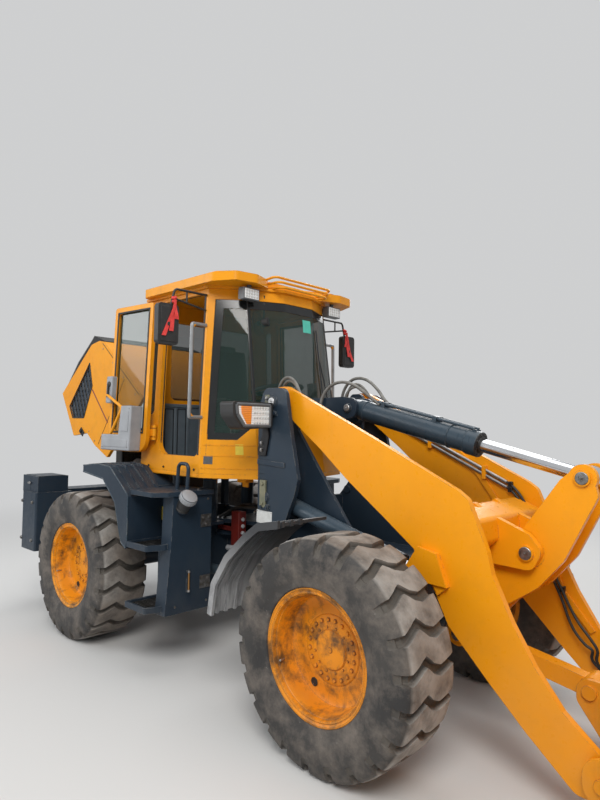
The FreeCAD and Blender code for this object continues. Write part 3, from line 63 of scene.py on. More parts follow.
def startMaterial(name, rough, metal=0.0):
    made = bpy.data.materials.new(name)
    made.use_nodes = True
    shader = made.node_tree.nodes["Principled BSDF"]
    shader.inputs["Roughness"].default_value = rough
    shader.inputs["Metallic"].default_value = metal
    return made, made.node_tree, shader


def noise(tree, scale, detail=4.0, rough=0.55, stretch=None):
    place = addNode(tree, "ShaderNodeTexCoord").outputs["Object"]
    if stretch:
        place = addNode(tree, "ShaderNodeMapping", {"Vector": place, "Scale": stretch}).outputs[0]
    return addNode(tree, "ShaderNodeTexNoise", {"Vector": place, "Scale": scale, "Detail": detail,
                                                "Roughness": rough}).outputs["Fac"]


# Turns a grey value into a mask: 0 below low, top above high.
def mask(tree, source, low, high, top=1.0):
    return addNode(tree, "ShaderNodeMapRange", {"Value": source, "From Min": low, "From Max": high,
                                                "To Min": 0.0, "To Max": top}).outputs[0]


def times(tree, a, b):
    return addNode(tree, "ShaderNodeMath", {0: a, 1: b}, operation="MULTIPLY").outputs[0]


def most(tree, a, b):
    return addNode(tree, "ShaderNodeMath", {0: a, 1: b}, operation="MAXIMUM").outputs[0]


def blendColours(tree, share, a, b):
    made = addNode(tree, "ShaderNodeMix", {0: share}, data_type="RGBA")
    for socket, value in ((made.inputs[6], a), (made.inputs[7], b)):
        if isinstance(value, bpy.types.NodeSocket):
            tree.links.new(value, socket)
        else:
            socket.default_value = (*value, 1)
    return made.outputs[2]

# the camera, where the photograph was taken from
camera = {
    "place": (2.803, -3.188, 1.697),
    "yaw": 44.05,     # degrees from +Y towards -X
    "pitch": 2.59,    # degrees up
    "roll": 0.85,
    "lens": 27.06,
    "sensor": 36,
    "nearest": 0.05,
}


def makeCamera():
    yaw, pitch, roll = (math.radians(camera[k]) for k in ("yaw", "pitch", "roll"))
    ahead = Vector((-math.sin(yaw) * math.cos(pitch), math.cos(yaw) * math.cos(pitch), math.sin(pitch)))
    level = ahead.cross(Vector((0, 0, 1))).normalized()
    right = level * math.cos(roll) + level.cross(ahead) * math.sin(roll)
    data = bpy.data.cameras.new("camera")
    data.lens = camera["lens"]
    data.sensor_width = camera["sensor"]
    data.clip_start = camera["nearest"]
    obj = bpy.data.objects.new("camera", data)
    turn = Matrix((right, right.cross(ahead), -ahead)).transposed().to_4x4()
    obj.matrix_world = Matrix.Translation(camera["place"]) @ turn
    bpy.context.collection.objects.link(obj)
    bpy.context.scene.camera = obj


studio = {
    "floor": (0.62, 0.615, 0.605),
    "floorHalf": 60,
    "fade": (4.5, 11.0),    # metres out, where the floor turns into the backdrop
    "world": (0.90, 0.93, 0.96),
    "worldStrength": 0.42,
    "backdrop": (0.62, 0.625, 0.63),
    "lamps": [
        # name, place, aimed at, size, watts, colour
        ("keyLamp", (4.5, -5.5, 7.0), (0.3, 0, 1.0), 4.0, 520, (1.0, 0.98, 0.95)),
        ("fillLamp", (-5.5, -6.5, 4.5), (-0.8, 0, 1.2), 5.0, 250, (0.94, 0.97, 1.0)),
        ("backLamp", (-3.0, 7.5, 6.5), (0, 0, 1.2), 5.0, 320, (1.0, 1.0, 1.0)),
        ("topLamp", (0.0, 0.0, 9.0), (0, 0, 0), 7.0, 235, (1.0, 1.0, 1.0)),
    ],
}


def makeStudio():
    half, backdrop = studio["floorHalf"], (*studio["backdrop"], 1)
    mesh = bpy.data.meshes.new("floor")
    mesh.from_pydata([(-half, -half, 0), (half, -half, 0), (half, half, 0), (-half, half, 0)], [], [(0, 1, 2, 3)])
    floor = bpy.data.objects.new("floor", mesh)
    bpy.context.collection.objects.link(floor)
    paint, tree, shader = startMaterial("floorPaint", 0.9)
    shader.inputs["Base Color"].default_value = (*studio["floor"], 1)
    far = addNode(tree, "ShaderNodeEmission", {0: backdrop})
    place = addNode(tree, "ShaderNodeTexCoord").outputs["Object"]
    away = addNode(tree, "ShaderNodeVectorMath", {0: place}, operation="LENGTH").outputs["Value"]
    fade = addNode(tree, "ShaderNodeMapRange", {"Value": away, "From Min": studio["fade"][0],
                                                "From Max": studio["fade"][1]}, interpolation_type="SMOOTHSTEP")
    seen = times(tree, fade.outputs[0], addNode(tree, "ShaderNodeLightPath").outputs["Is Camera Ray"])
    mix = addNode(tree, "ShaderNodeMixShader", {0: seen, 1: shader.outputs[0], 2: far.outputs[0]})
    tree.links.new(mix.outputs[0], tree.nodes["Material Output"].inputs["Surface"])
    mesh.materials.append(paint)
    world = bpy.context.scene.world or bpy.data.worlds.new("world")
    bpy.context.scene.world = world
    world.use_nodes = True
    tree = world.node_tree
    sky = tree.nodes["Background"]
    sky.inputs[0].default_value = (*studio["world"], 1)
    sky.inputs[1].default_value = studio["worldStrength"]
    behind = addNode(tree, "ShaderNodeBackground", {0: backdrop})    # what camera, metal and glass see
    path = addNode(tree, "ShaderNodeLightPath").outputs
    seen = most(tree, most(tree, path["Is Camera Ray"], path["Is Glossy Ray"]), path["Is Transmission Ray"])
    mix = addNode(tree, "ShaderNodeMixShader", {0: seen, 1: sky.outputs[0], 2: behind.outputs[0]})
    tree.links.new(mix.outputs[0], tree.nodes["World Output"].inputs["Surface"])
    for name, place, aim, size, watts, colour in studio["lamps"]:
        data = bpy.data.lights.new(name, "AREA")
        data.shape = "DISK"
        data.size = size
        data.energy = watts
        data.color = colour
        lamp = bpy.data.objects.new(name, data)
        lamp.location = place
        lamp.rotation_euler = (Vector(aim) - Vector(place)).to_track_quat("-Z", "Y").to_euler()
        bpy.context.collection.objects.link(lamp)
    bpy.context.scene.view_settings.view_transform = "Standard"


makeCamera()
makeStudio()
print("camera and studio ready")



# the z part of a vector: how far a face looks up, or how high a point lies
def zPart(tree, kind, output):
    return addNode(tree, "ShaderNodeSeparateXYZ", {0: addNode(tree, kind).outputs[output]}).outputs[2]


def bumpy(tree, shader, height, distance, strength=1.0, **more):
    made = addNode(tree, "ShaderNodeBump", {"Height": height, "Distance": distance, "Strength": strength, **more})
    tree.links.new(made.outputs[0], shader.inputs["Normal"])


# 1 along worn outer edges and 0 elsewhere
def edgeWear(tree, radius, patchScale, amount):
    rounded = addNode(tree, "ShaderNodeBevel", {"Radius": radius}, samples=3).outputs[0]
    flat = addNode(tree, "ShaderNodeNewGeometry").outputs["Normal"]
    same = addNode(tree, "ShaderNodeVectorMath", {0: rounded, 1: flat}, operation="DOT_PRODUCT").outputs["Value"]
    turned = mask(tree, same, 0.995, 0.90)
    patchy = mask(tree, noise(tree, patchScale, 6), 0.62 - amount * 0.3, 0.66 - amount * 0.3)
    return times(tree, turned, patchy), rounded


# dust that lies on upward faces and gathers low on the machine
def dustMask(tree, amount, top=0.9):
    upward = zPart(tree, "ShaderNodeNewGeometry", "Normal")
    height = zPart(tree, "ShaderNodeTexCoord", "Object")
    lying = times(tree, mask(tree, upward, 0.2, 1.0), 0.6)
    low = mask(tree, height, top, 0.15)
    cloudy = mask(tree, noise(tree, 5.0, 8, 0.65), 0.35, 0.75)
    return times(tree, times(tree, most(tree, lying, low), cloudy), amount)


def paintedSteel(name, look):
    made, tree, shader = startMaterial(name, look["rough"])
    shader.inputs["Specular IOR Level"].default_value = look.get("gloss", 0.28)
    tone = mask(tree, noise(tree, 1.6, 5), 0.3, 0.7)
    colour = blendColours(tree, tone, look["colour"], look["deeper"])
    grime = times(tree, mask(tree, noise(tree, 7.0, 10, 0.7), *look.get("patches", (0.50, 0.78))), look["grime"])
    colour = blendColours(tree, grime, colour, look["grimeColour"])
    runs = mask(tree, noise(tree, 16.0, 6, 0.6, stretch=(1.0, 1.0, 0.06)), 0.60, 0.74, look["grime"] * 0.6)
    colour = blendColours(tree, runs, colour, look["grimeColour"])
    scratches = mask(tree, noise(tree, 9.0, 12, 0.8, stretch=(1.0, 1.0, 5.0)), 0.68, 0.71, look["scratches"])
    colour = blendColours(tree, scratches, colour, look["underneath"])
    worn, rounded = edgeWear(tree, look["edge"], 14.0, look["wear"])
    colour = blendColours(tree, worn, colour, look["underneath"])
    colour = blendColours(tree, dustMask(tree, look["dust"]), colour, look["dustColour"])
    tree.links.new(colour, shader.inputs["Base Color"])
    roughness = addNode(tree, "ShaderNodeMapRange", {"Value": noise(tree, 30.0, 6), "From Min": 0.3, "From Max": 0.7,
                                                     "To Min": look["rough"] - 0.06, "To Max": look["rough"] + 0.12})
    tree.links.new(roughness.outputs[0], shader.inputs["Roughness"])
    bumpy(tree, shader, noise(tree, 90.0, 3), look["orangePeel"], 0.5, Normal=rounded)
    return made


paints = {
    "yellowPaint": {"colour": (0.83, 0.335, 0.008), "deeper": (0.76, 0.285, 0.007), "rough": 0.36, "grime": 0.28,
                    "grimeColour": (0.30, 0.15, 0.03), "scratches": 0.30, "underneath": (0.16, 0.11, 0.07),
                    "edge": 0.004, "wear": 0.45, "dust": 0.22, "dustColour": (0.42, 0.33, 0.20), "orangePeel": 0.0006},
    "armPaint": {"colour": (0.88, 0.345, 0.006), "deeper": (0.84, 0.315, 0.006), "rough": 0.30, "grime": 0.14,
                 "grimeColour": (0.40, 0.18, 0.03), "scratches": 0.25, "underneath": (0.20, 0.13, 0.08),
                 "edge": 0.004, "wear": 0.35, "dust": 0.16, "dustColour": (0.45, 0.34, 0.20), "orangePeel": 0.0005},
    "wheelPaint": {"colour": (0.83, 0.31, 0.006), "deeper": (0.70, 0.22, 0.006), "rough": 0.40, "grime": 0.95,
                   "patches": (0.47, 0.64), "grimeColour": (0.10, 0.048, 0.018), "scratches": 0.80,
                   "underneath": (0.07, 0.045, 0.03), "edge": 0.004, "wear": 0.80, "dust": 0.25,
                   "dustColour": (0.36, 0.25, 0.13), "orangePeel": 0.0008},
    "slatePaint": {"colour": (0.022, 0.037, 0.056), "deeper": (0.015, 0.026, 0.042), "rough": 0.36, "grime": 0.22,
                   "grimeColour": (0.050, 0.054, 0.056), "scratches": 0.30, "underneath": (0.22, 0.22, 0.21),
                   "edge": 0.004, "wear": 0.45, "dust": 0.28, "dustColour": (0.15, 0.145, 0.135), "orangePeel": 0.0006},
    # the cylinders' paint; this paler slate also serves as a painted highlight along the rear fenders' edges
    "cylinderPaint": {"colour": (0.036, 0.058, 0.080), "deeper": (0.026, 0.044, 0.062), "rough": 0.30, "grime": 0.25,
                      "grimeColour": (0.075, 0.075, 0.07), "scratches": 0.3, "underneath": (0.25, 0.25, 0.24),
                      "edge": 0.003, "wear": 0.4, "dust": 0.30, "dustColour": (0.18, 0.17, 0.15), "orangePeel": 0.0005},
    "blackPaint": {"colour": (0.012, 0.012, 0.014), "deeper": (0.008, 0.008, 0.009), "rough": 0.42, "grime": 0.3,
                   "grimeColour": (0.06, 0.055, 0.05), "scratches": 0.2, "underneath": (0.10, 0.10, 0.10),
                   "edge": 0.003, "wear": 0.3, "dust": 0.4, "dustColour": (0.16, 0.15, 0.13), "orangePeel": 0.0005},
    "ironDark": {"colour": (0.055, 0.055, 0.055), "deeper": (0.035, 0.035, 0.036), "rough": 0.6, "grime": 0.6,
                 "grimeColour": (0.09, 0.065, 0.04), "scratches": 0.3, "underneath": (0.20, 0.19, 0.18),
                 "edge": 0.004, "wear": 0.4, "dust": 0.6, "dustColour": (0.17, 0.15, 0.12), "orangePeel": 0.0015},
}


# Rubber with pale dust on the bars and darker mud in the grooves, by the mesh's own attributes.
def makeTyreRubber():
    look = {"colour": (0.022, 0.021, 0.021), "faded": (0.055, 0.050, 0.045), "dust": (0.37, 0.355, 0.33),
            "brown": (0.215, 0.18, 0.15), "mud": (0.085, 0.075, 0.062)}
    made, tree, shader = startMaterial("tyreRubber", 0.7)
    colour = blendColours(tree, mask(tree, noise(tree, 3.0, 6), 0.35, 0.7), look["colour"], look["faded"])
    dusty = mask(tree, noise(tree, 5.0, 10, 0.7), 0.44, 0.70, 0.7)
    colour = blendColours(tree, dusty, colour, look["brown"])
    groove = addNode(tree, "ShaderNodeAttribute", attribute_name="groove").outputs["Fac"]
    tread = addNode(tree, "ShaderNodeAttribute", attribute_name="tread").outputs["Fac"]
    dust = blendColours(tree, mask(tree, noise(tree, 2.2, 5), 0.40, 0.62), look["brown"], look["dust"])
    worn = times(tree, tread, mask(tree, noise(tree, 9.0, 9, 0.65), 0.22, 0.58, 0.92))
    colour = blendColours(tree, worn, colour, dust)
    held = times(tree, groove, mask(tree, noise(tree, 14.0, 8, 0.7), 0.25, 0.62, 0.8))
    colour = blendColours(tree, held, colour, look["mud"])
    scuffs = mask(tree, noise(tree, 26.0, 10, 0.75), 0.62, 0.76, 0.5)
    colour = blendColours(tree, scuffs, colour, look["dust"])
    tree.links.new(colour, shader.inputs["Base Color"])
    bumpy(tree, shader, noise(tree, 45.0, 8, 0.7), 0.004, 0.55)
    return made


# The guard behind the front wheel: dark plastic, caked more and more towards its foot.
def makeMudguard():
    made, tree, shader = startMaterial("mudguardPlastic", 0.6)
    height = zPart(tree, "ShaderNodeTexCoord", "Object")
    streaky = mask(tree, noise(tree, 9.0, 9, 0.7, stretch=(0.35, 2.2, 0.25)), 0.26, 0.56)
    caked = times(tree, mask(tree, height, 1.12, 0.68), streaky)
    upward = zPart(tree, "ShaderNodeNewGeometry", "Normal")
    lying = times(tree, mask(tree, upward, 0.55, 0.95), 0.8)
    colour = blendColours(tree, most(tree, caked, lying), (0.030, 0.032, 0.036), (0.42, 0.42, 0.425))
    tree.links.new(colour, shader.inputs["Base Color"])
    bumpy(tree, shader, noise(tree, 40.0, 6), 0.003, 0.6)
    return made


def makeChrome():
    made, tree, shader = startMaterial("hardChrome", 0.14, 1.0)
    colour = blendColours(tree, mask(tree, noise(tree, 4.0, 8), 0.5, 0.8, 0.5), (0.62, 0.63, 0.65), (0.34, 0.31, 0.27))
    tree.links.new(colour, shader.inputs["Base Color"])
    lines = noise(tree, 60.0, 3, stretch=(0.05, 1.0, 1.0))
    rough = addNode(tree, "ShaderNodeMapRange", {"Value": lines, "To Min": 0.08, "To Max": 0.28}).outputs[0]
    tree.links.new(rough, shader.inputs["Roughness"])
    return made


def makeGlass(name, alpha, dark, pale):
    made, tree, shader = startMaterial(name, 0.03)
    shader.inputs["IOR"].default_value = 1.45
    shader.inputs["Specular IOR Level"].default_value = 0.6
    shader.inputs["Alpha"].default_value = alpha
    streaks = mask(tree, noise(tree, 2.0, 6, stretch=(1.0, 1.0, 0.3)), 0.4, 0.8)
    tree.links.new(blendColours(tree, streaks, dark, pale), shader.inputs["Base Color"])
    return made


def makeLens(name, colour, glow):
    made, tree, shader = startMaterial(name, 0.12)
    ribs = addNode(tree, "ShaderNodeTexWave", {"Vector": addNode(tree, "ShaderNodeTexCoord").outputs["Object"],
                                               "Scale": 28.0}, bands_direction="Z").outputs["Fac"]
    tree.links.new(blendColours(tree, ribs, colour, tuple(c * 0.72 for c in colour)), shader.inputs["Base Color"])
    shader.inputs["Coat Weight"].default_value = 0.6
    shader.inputs["Emission Color"].default_value = (*colour, 1)
    shader.inputs["Emission Strength"].default_value = glow
    bumpy(tree, shader, ribs, 0.0012, 0.8)
    return made


def plainMaterial(name, colour, other, rough, metal, scale, height):
    made, tree, shader = startMaterial(name, rough, metal)
    mixed = blendColours(tree, mask(tree, noise(tree, scale, 6), 0.35, 0.7), colour, other)
    tree.links.new(mixed, shader.inputs["Base Color"])
    if height:
        bumpy(tree, shader, noise(tree, scale * 6, 5), height, 0.6)
    return made


mats = {name: paintedSteel(name, look) for name, look in paints.items()}
mats["tyreRubber"] = makeTyreRubber()
mats["mudguardPlastic"] = makeMudguard()
mats["hardChrome"] = makeChrome()
mats["tintedGlass"] = makeGlass("tintedGlass", 0.56, (0.010, 0.030, 0.024), (0.024, 0.052, 0.043))
mats["doorGlass"] = makeGlass("doorGlass", 0.30, (0.020, 0.060, 0.034), (0.042, 0.085, 0.052))
mats["clearLens"] = makeLens("clearLens", (0.78, 0.80, 0.80), 0.12)
mats["amberLens"] = makeLens("amberLens", (0.85, 0.26, 0.03), 0.10)
mats["redLens"] = makeLens("redLens", (0.55, 0.02, 0.015), 0.04)
# name, colour, its darker or paler half, roughness, metal, size of the patches, height of the grain
for name, *look in (
    ("mouldedBlack", (0.016, 0.016, 0.017), (0.028, 0.027, 0.026), 0.55, 0.0, 25.0, 0.0008),
    ("sealRubber", (0.010, 0.010, 0.010), (0.020, 0.020, 0.019), 0.62, 0.0, 30.0, 0.0004),
    ("glassBorder", (0.006, 0.007, 0.008), (0.012, 0.013, 0.013), 0.16, 0.0, 8.0, 0.0),
    ("seatVinyl", (0.014, 0.014, 0.015), (0.022, 0.022, 0.023), 0.5, 0.0, 40.0, 0.0010),
    ("hoseRubber", (0.014, 0.014, 0.014), (0.035, 0.033, 0.030), 0.55, 0.0, 30.0, 0.0005),
    ("wornHose", (0.20, 0.195, 0.18), (0.11, 0.105, 0.095), 0.6, 0.0, 22.0, 0.0006),
    ("zincPipe", (0.42, 0.42, 0.42), (0.26, 0.25, 0.24), 0.36, 0.8, 18.0, 0.0004),
    ("handleGrey", (0.30, 0.31, 0.32), (0.22, 0.225, 0.23), 0.35, 0.3, 14.0, 0.0004),
    ("boltSteel", (0.30, 0.30, 0.30), (0.14, 0.12, 0.10), 0.42, 0.9, 40.0, 0.0004),
    ("barePlate", (0.34, 0.33, 0.31), (0.20, 0.16, 0.12), 0.42, 0.85, 5.0, 0.0010),
    ("lampGrey", (0.12, 0.125, 0.13), (0.085, 0.09, 0.095), 0.42, 0.0, 20.0, 0.0006),
    ("panelGrey", (0.13, 0.165, 0.195), (0.105, 0.135, 0.16), 0.5, 0.0, 12.0, 0.0006),
    ("binGrey", (0.33, 0.34, 0.36), (0.26, 0.27, 0.285), 0.5, 0.0, 9.0, 0.0006),
    ("labelWhite", (0.62, 0.63, 0.62), (0.50, 0.50, 0.48), 0.45, 0.0, 20.0, 0.0),
    ("labelYellow", (0.80, 0.60, 0.05), (0.68, 0.50, 0.05), 0.45, 0.0, 20.0, 0.0),
    ("labelGrey", (0.09, 0.095, 0.10), (0.13, 0.13, 0.13), 0.35, 0.3, 60.0, 0.0),
    ("stickerTeal", (0.10, 0.56, 0.44), (0.08, 0.48, 0.38), 0.5, 0.0, 20.0, 0.0),
    ("mirrorGlass", (0.72, 0.75, 0.77), (0.66, 0.69, 0.71), 0.04, 1.0, 4.0, 0.0),
    ("stripeRed", (0.20, 0.02, 0.03), (0.14, 0.015, 0.02), 0.4, 0.0, 20.0, 0.0),
    ("ribbonRed", (0.75, 0.06, 0.05), (0.60, 0.04, 0.04), 0.7, 0.0, 60.0, 0.0006),
    ("primerOlive", (0.13, 0.135, 0.09), (0.22, 0.205, 0.13), 0.5, 0.0, 18.0, 0.0006),
    ("brassTube", (0.36, 0.19, 0.06), (0.27, 0.14, 0.05), 0.3, 0.6, 14.0, 0.0003),
    ("oxideRed", (0.15, 0.012, 0.008), (0.10, 0.010, 0.008), 0.5, 0.0, 14.0, 0.0008),
):
    mats[name] = plainMaterial(name, *look)
print("materials ready:", len(mats))

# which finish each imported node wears
finishes = {
    "armPaint": ["boom", "rocker", "tilt_link"],
    "yellowPaint": ["cab_frame", "cab_floor", "cab_nose", "cab_roof", "hood", "door_right", "door_left",
                    "coupler", "bucket"],
    "wheelPaint": ["rim_front_right", "rim_front_left", "rim_rear_right", "rim_rear_left"],
    "slatePaint": ["rear_frame", "front_frame", "counterweight", "front_axle", "rear_axle", "fuel_tank",
                   "hydraulic_tank", "rear_fenders", "hood_posts"],
    "cylinderPaint": ["tilt_barrel", "lift_barrel_right", "lift_barrel_left", "steer_barrel_right",
                      "steer_barrel_left"],
    "hardChrome": ["tilt_rod", "lift_rod_right", "lift_rod_left", "steer_rod_right", "steer_rod_left"],
    "tintedGlass": ["cab_glass"],
    "doorGlass": ["door_right_glass", "door_left_glass"],
    "tyreRubber": ["tyre_front_right", "tyre_front_left", "tyre_rear_right", "tyre_rear_left"],
    "mudguardPlastic": ["front_fenders"],
    "mouldedBlack": ["mirrors", "steering_wheel", "headlamps"],
    "blackPaint": ["hood_grille"],
    "seatVinyl": ["seat"],
    "lampGrey": ["work_lamps"],
    "ironDark": ["engine_block", "radiator"],
}
for finish, names in finishes.items():
    for name in names:
        for nodeSlot in nodes[name].material_slots:
            nodeSlot.material = mats[finish]


# Shapes are drawn in millimetres: x forward from the steering hitch, y to the left, z up.
def alongSide(point, y):
    return Vector((point[0], y, point[1]))


def rotationTo(direction):
    return Vector((0, 0, 1)).rotation_difference(direction.normalized()).to_matrix()


def addPrism(bm, outline, lift):
    bottom = [bm.verts.new(p) for p in outline]
    top = [bm.verts.new(p + lift) for p in outline]
    bm.faces.new(bottom)
    bm.faces.new(list(reversed(top)))
    count = len(outline)
    for i in range(count):
        j = (i + 1) % count
        bm.faces.new((bottom[i], top[i], top[j], bottom[j]))


def addBox(bm, x0, x1, y0, y1, z0, z1):
    addFlatPlate(bm, [(x0, y0), (x1, y0), (x1, y1), (x0, y1)], z0, z1)


def addSidePlate(bm, outline, y0, y1):
    addPrism(bm, [alongSide(p, y0) for p in outline], Vector((0, y1 - y0, 0)))


def addFlatPlate(bm, outline, z0, z1):
    addPrism(bm, [Vector((x, y, z0)) for x, y in outline], Vector((0, 0, z1 - z0)))


def addFrontPlate(bm, outline, x0, x1):
    addPrism(bm, [Vector((x0, y, z)) for y, z in outline], Vector((x1 - x0, 0, 0)))


# A turned shape about an axis: the profile is (radius, distance along) and may start or end on the axis.
def addTurned(bm, centre, axis, profile, segments=24, closed=False):
    turn = rotationTo(Vector(axis))
    rings = []
    for radius, run in profile:
        if radius < 0.01:
            rings.append([bm.verts.new(Vector(centre) + turn @ Vector((0, 0, run)))])
            continue
        angles = [2 * math.pi * i / segments for i in range(segments)]
        rings.append([bm.verts.new(Vector(centre) + turn @ Vector((radius * math.cos(a), radius * math.sin(a), run)))
                      for a in angles])
    pairs = list(zip(rings, rings[1:]))
    if closed:
        pairs.append((rings[-1], rings[0]))
    for a, b in pairs:
        for i in range(segments):
            j = (i + 1) % segments
            corners = (a[:1] if len(a) == 1 else [a[i], a[j]]) + (b[:1] if len(b) == 1 else [b[j], b[i]])
            if len(corners) > 2:
                bm.faces.new(corners)


def addRod(bm, start, end, radius, segments=16):
    start, end = Vector(start), Vector(end)
    length = (end - start).length
    edge = min(radius * 0.12, 2)
    addTurned(bm, start, end - start, [(0, 0), (radius - edge, 0), (radius, edge), (radius, length - edge),
                                       (radius - edge, length), (0, length)], segments)


# A hexagon bolt with its washer, standing on a face.
def addBolt(bm, spot, axis, size):
    addTurned(bm, spot, axis, [(0, 0), (size * 1.15, 0), (size * 1.15, size * 0.16), (0, size * 0.16)], 18)
    addTurned(bm, spot, axis, [(0, size * 0.1), (size, size * 0.14), (size, size * 0.72), (size * 0.86, size * 0.8),
                               (0, size * 0.8)], 6)


def addBoltRing(bm, centre, axis, ringRadius, count, size):
    turn = rotationTo(Vector(axis))
    for i in range(count):
        angle = 2 * math.pi * (i + 0.5) / count
        spot = Vector(centre) + turn @ Vector((ringRadius * math.cos(angle), ringRadius * math.sin(angle), 0))
        addBolt(bm, spot, axis, size)


def asPiece(name, data, body, finish):
    obj = bpy.data.objects.new(name, data)
    bpy.context.collection.objects.link(obj)
    data.materials.append(mats[finish])
    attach(obj, body)
    return obj


# Turns a drawn shape into a piece; turn is a swing already in millimetres, for the door and the hood.
def finishShape(name, bm, body, slotName, finish, bevel=0.0, turn=None, sharp=35, segments=2):
    if turn is not None:
        bm.transform(turn)
    bm.transform(Matrix.Translation((shift, 0, 0)) @ Matrix.Scale(0.001, 4))
    bmesh.ops.recalc_face_normals(bm, faces=bm.faces)
    data = bpy.data.meshes.new(name)
    bm.to_mesh(data)
    bm.free()
    data.shade_smooth()
    data.set_sharp_from_angle(angle=math.radians(sharp))
    piece = asPiece(name, data, body, finish)
    if bevel:
        rounding = piece.modifiers.new("rounding", "BEVEL")
        rounding.width = bevel / 1000
        rounding.segments = segments
        rounding.limit_method = "ANGLE"
        rounding.angle_limit = math.radians(40)
    return piece


# Draws a whole piece: each shape is a drawing function with its sizes.
def addPiece(body, name, slotName, finish, *shapes, **options):
    bm = bmesh.new()
    for draw, *sizes in shapes:
        draw(bm, *sizes)
    return finishShape(name, bm, body, slotName, finish, **options)


rearPiece, frontPiece, boomPiece = (partial(addPiece, body) for body in ("rear_frame", "front_frame", "boom"))


# A box on one side of the machine, with y counted outwards.
def sideBox(side, x0, x1, y0, y1, z0, z1):
    return addBox, x0, x1, side * y0, side * y1, z0, z1


# A smooth hose or pipe through points in millimetres.
def addHose(name, points, radius, body, finish, turn=None, closed=False):
    data = bpy.data.curves.new(name, "CURVE")
    data.dimensions = "3D"
    data.bevel_depth = radius / 1000
    data.bevel_resolution = 4
    data.use_fill_caps = True
    spline = data.splines.new("NURBS")
    spline.points.add(len(points) - 1)
    for spot, point in zip(spline.points, points):
        place = Vector(point)
        if turn is not None:
            place = turn @ place
        spot.co = (place.x / 1000 + shift, place.y / 1000, place.z / 1000, 1)
    spline.order_u = 3
    spline.use_endpoint_u = True
    spline.use_cyclic_u = closed
    spline.resolution_u = 10
    return asPiece(name, data, body, finish)


# A hose across a joint, drawn as a curve and baked into a plain mesh that stays where it is drawn.
def addBendingHose(name, points, radius, bodies, finish, start, end):
    curve = addHose(name + "_line", points, radius, bodies[0], finish)
    bpy.context.view_layer.update()
    data = bpy.data.meshes.new_from_object(curve.evaluated_get(bpy.context.evaluated_depsgraph_get()))
    bpy.data.objects.remove(curve)
    data.name = name
    data.shade_smooth()
    piece = bpy.data.objects.new(name, data)
    bpy.context.collection.objects.link(piece)
    start, end = ([x / 1000 + shift, y / 1000, z / 1000] for x, y, z in (start, end))
    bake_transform(piece)
    return piece


sides = (("right", -1), ("left", 1))
# where the hood and the right door turn, and how far they stand from the way they are drawn
hinges = {"hood": (-980, 0, 1925), "hoodDegrees": 37, "door": (-616, -684, 1335), "doorDegrees": -175,
          "lean": (0, 50, 1335)}    # the cab's sides lean in by 50 over their height


def turnedAbout(place, degrees, axis):
    return Matrix.Translation(place) @ Matrix.Rotation(math.radians(degrees), 4, axis) @ Matrix.Translation(-place)


hoodHinge = Vector(hinges["hood"])
hoodTurn = turnedAbout(hoodHinge, hinges["hoodDegrees"], "Y")
doorTurn = turnedAbout(Vector(hinges["door"]), hinges["doorDegrees"], Vector(hinges["lean"]).normalized())
sideLean = math.degrees(math.atan2(*hinges["lean"][1:]))


wheel = {
    "axleZ": 575, "trackHalf": 798, "lugs": 22, "depth": 30, "frontX": 1325, "rearX": -1325,
    # down the carcass from the tread's middle: distance across, radius, how deep the grooves are, turn of the bars
    "section": [(0, 574, 1, 0.0), (28, 574.6, 1, 0.55), (52, 574.6, 1, 1.0), (80, 574.4, 1, 0.75),
                (112, 574, 1, 0.35), (144, 572.5, 1, 0.0), (164, 569, 1, -0.2), (178, 562, 1.0, -0.2),
                (188, 550, 0.95, -0.2), (195, 532, 0.8, -0.2), (199, 512, 0.62, -0.2), (201.5, 496, 0.35, -0.2),
                (202.5, 486, 0.0, 0), (204, 470, 0, 0), (204.5, 452, 0, 0), (204, 430, 0, 0), (202, 408, 0, 0),
                (199, 392, 0, 0), (197, 384, 0, 0), (193, 374, 0, 0), (190, 362, 0, 0), (187, 350, 0, 0),
                (186, 341, 0, 0), (183.5, 334, 0, 0), (176, 330, 0, 0)],
    # across one bar and its groove: share of the pitch, how far sunk
    "bar": [(0.0, 0.0), (0.02, -0.06), (0.16, -0.10), (0.34, -0.10), (0.52, -0.10), (0.66, -0.06), (0.69, 0.0),
            (0.725, 0.85), (0.76, 1.0), (0.85, 1.0), (0.935, 1.0), (0.97, 0.85)],
    "swing": 4.2,      # degrees that the bars' middle is turned on
}


def makeTyre(name, centreX, side, body, node):
    section = wheel["section"]
    rows = [(-w, r, g, t) for w, r, g, t in reversed(section[1:])] + list(section)
    bm = bmesh.new()
    grooveLayer = bm.verts.layers.float.new("groove")
    treadLayer = bm.verts.layers.float.new("tread")
    pitch = 360.0 / wheel["lugs"]
    columns = [(lug + share, sunk) for lug in range(wheel["lugs"]) for share, sunk in wheel["bar"]]
    grid = []
    for lug, sunk in columns:
        line = []
        for w, r, g, t in rows:
            flip = 1 if w >= 0 else -0.45    # the bars lean one way, more on one half than on the other
            angle = math.radians(lug * pitch + wheel["swing"] * t * flip - 90)
            ripple = 1.2 * math.sin(w * 0.11 + int(lug) * 2.4)
            down = g * (wheel["depth"] * max(sunk, 0) + (ripple if sunk > 0.5 else 0))
            radius = r - down * (1 if abs(w) < 190 else 0.35)
            across = w - math.copysign(down * (0.05 if abs(w) < 170 else 0.34), w)
            spot = bm.verts.new((centreX + radius * math.cos(angle), side * (wheel["trackHalf"] + across),
                                 wheel["axleZ"] + radius * math.sin(angle)))
            spot[grooveLayer] = max(0.0, sunk) * (1 if g > 0.3 else g)
            spot[treadLayer] = 1.0 if abs(w) < 170 and sunk < 0.5 else 0.0
            line.append(spot)
        grid.append(line)
    count = len(grid)
    for i in range(count):
        a, b = grid[i], grid[(i + 1) % count]
        for j in range(len(rows) - 1):
            bm.faces.new((a[j], b[j], b[j + 1], a[j + 1]))
    piece = finishShape(name, bm, body, "tyre", "tyreRubber", sharp=28)
    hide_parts(node)
    return piece


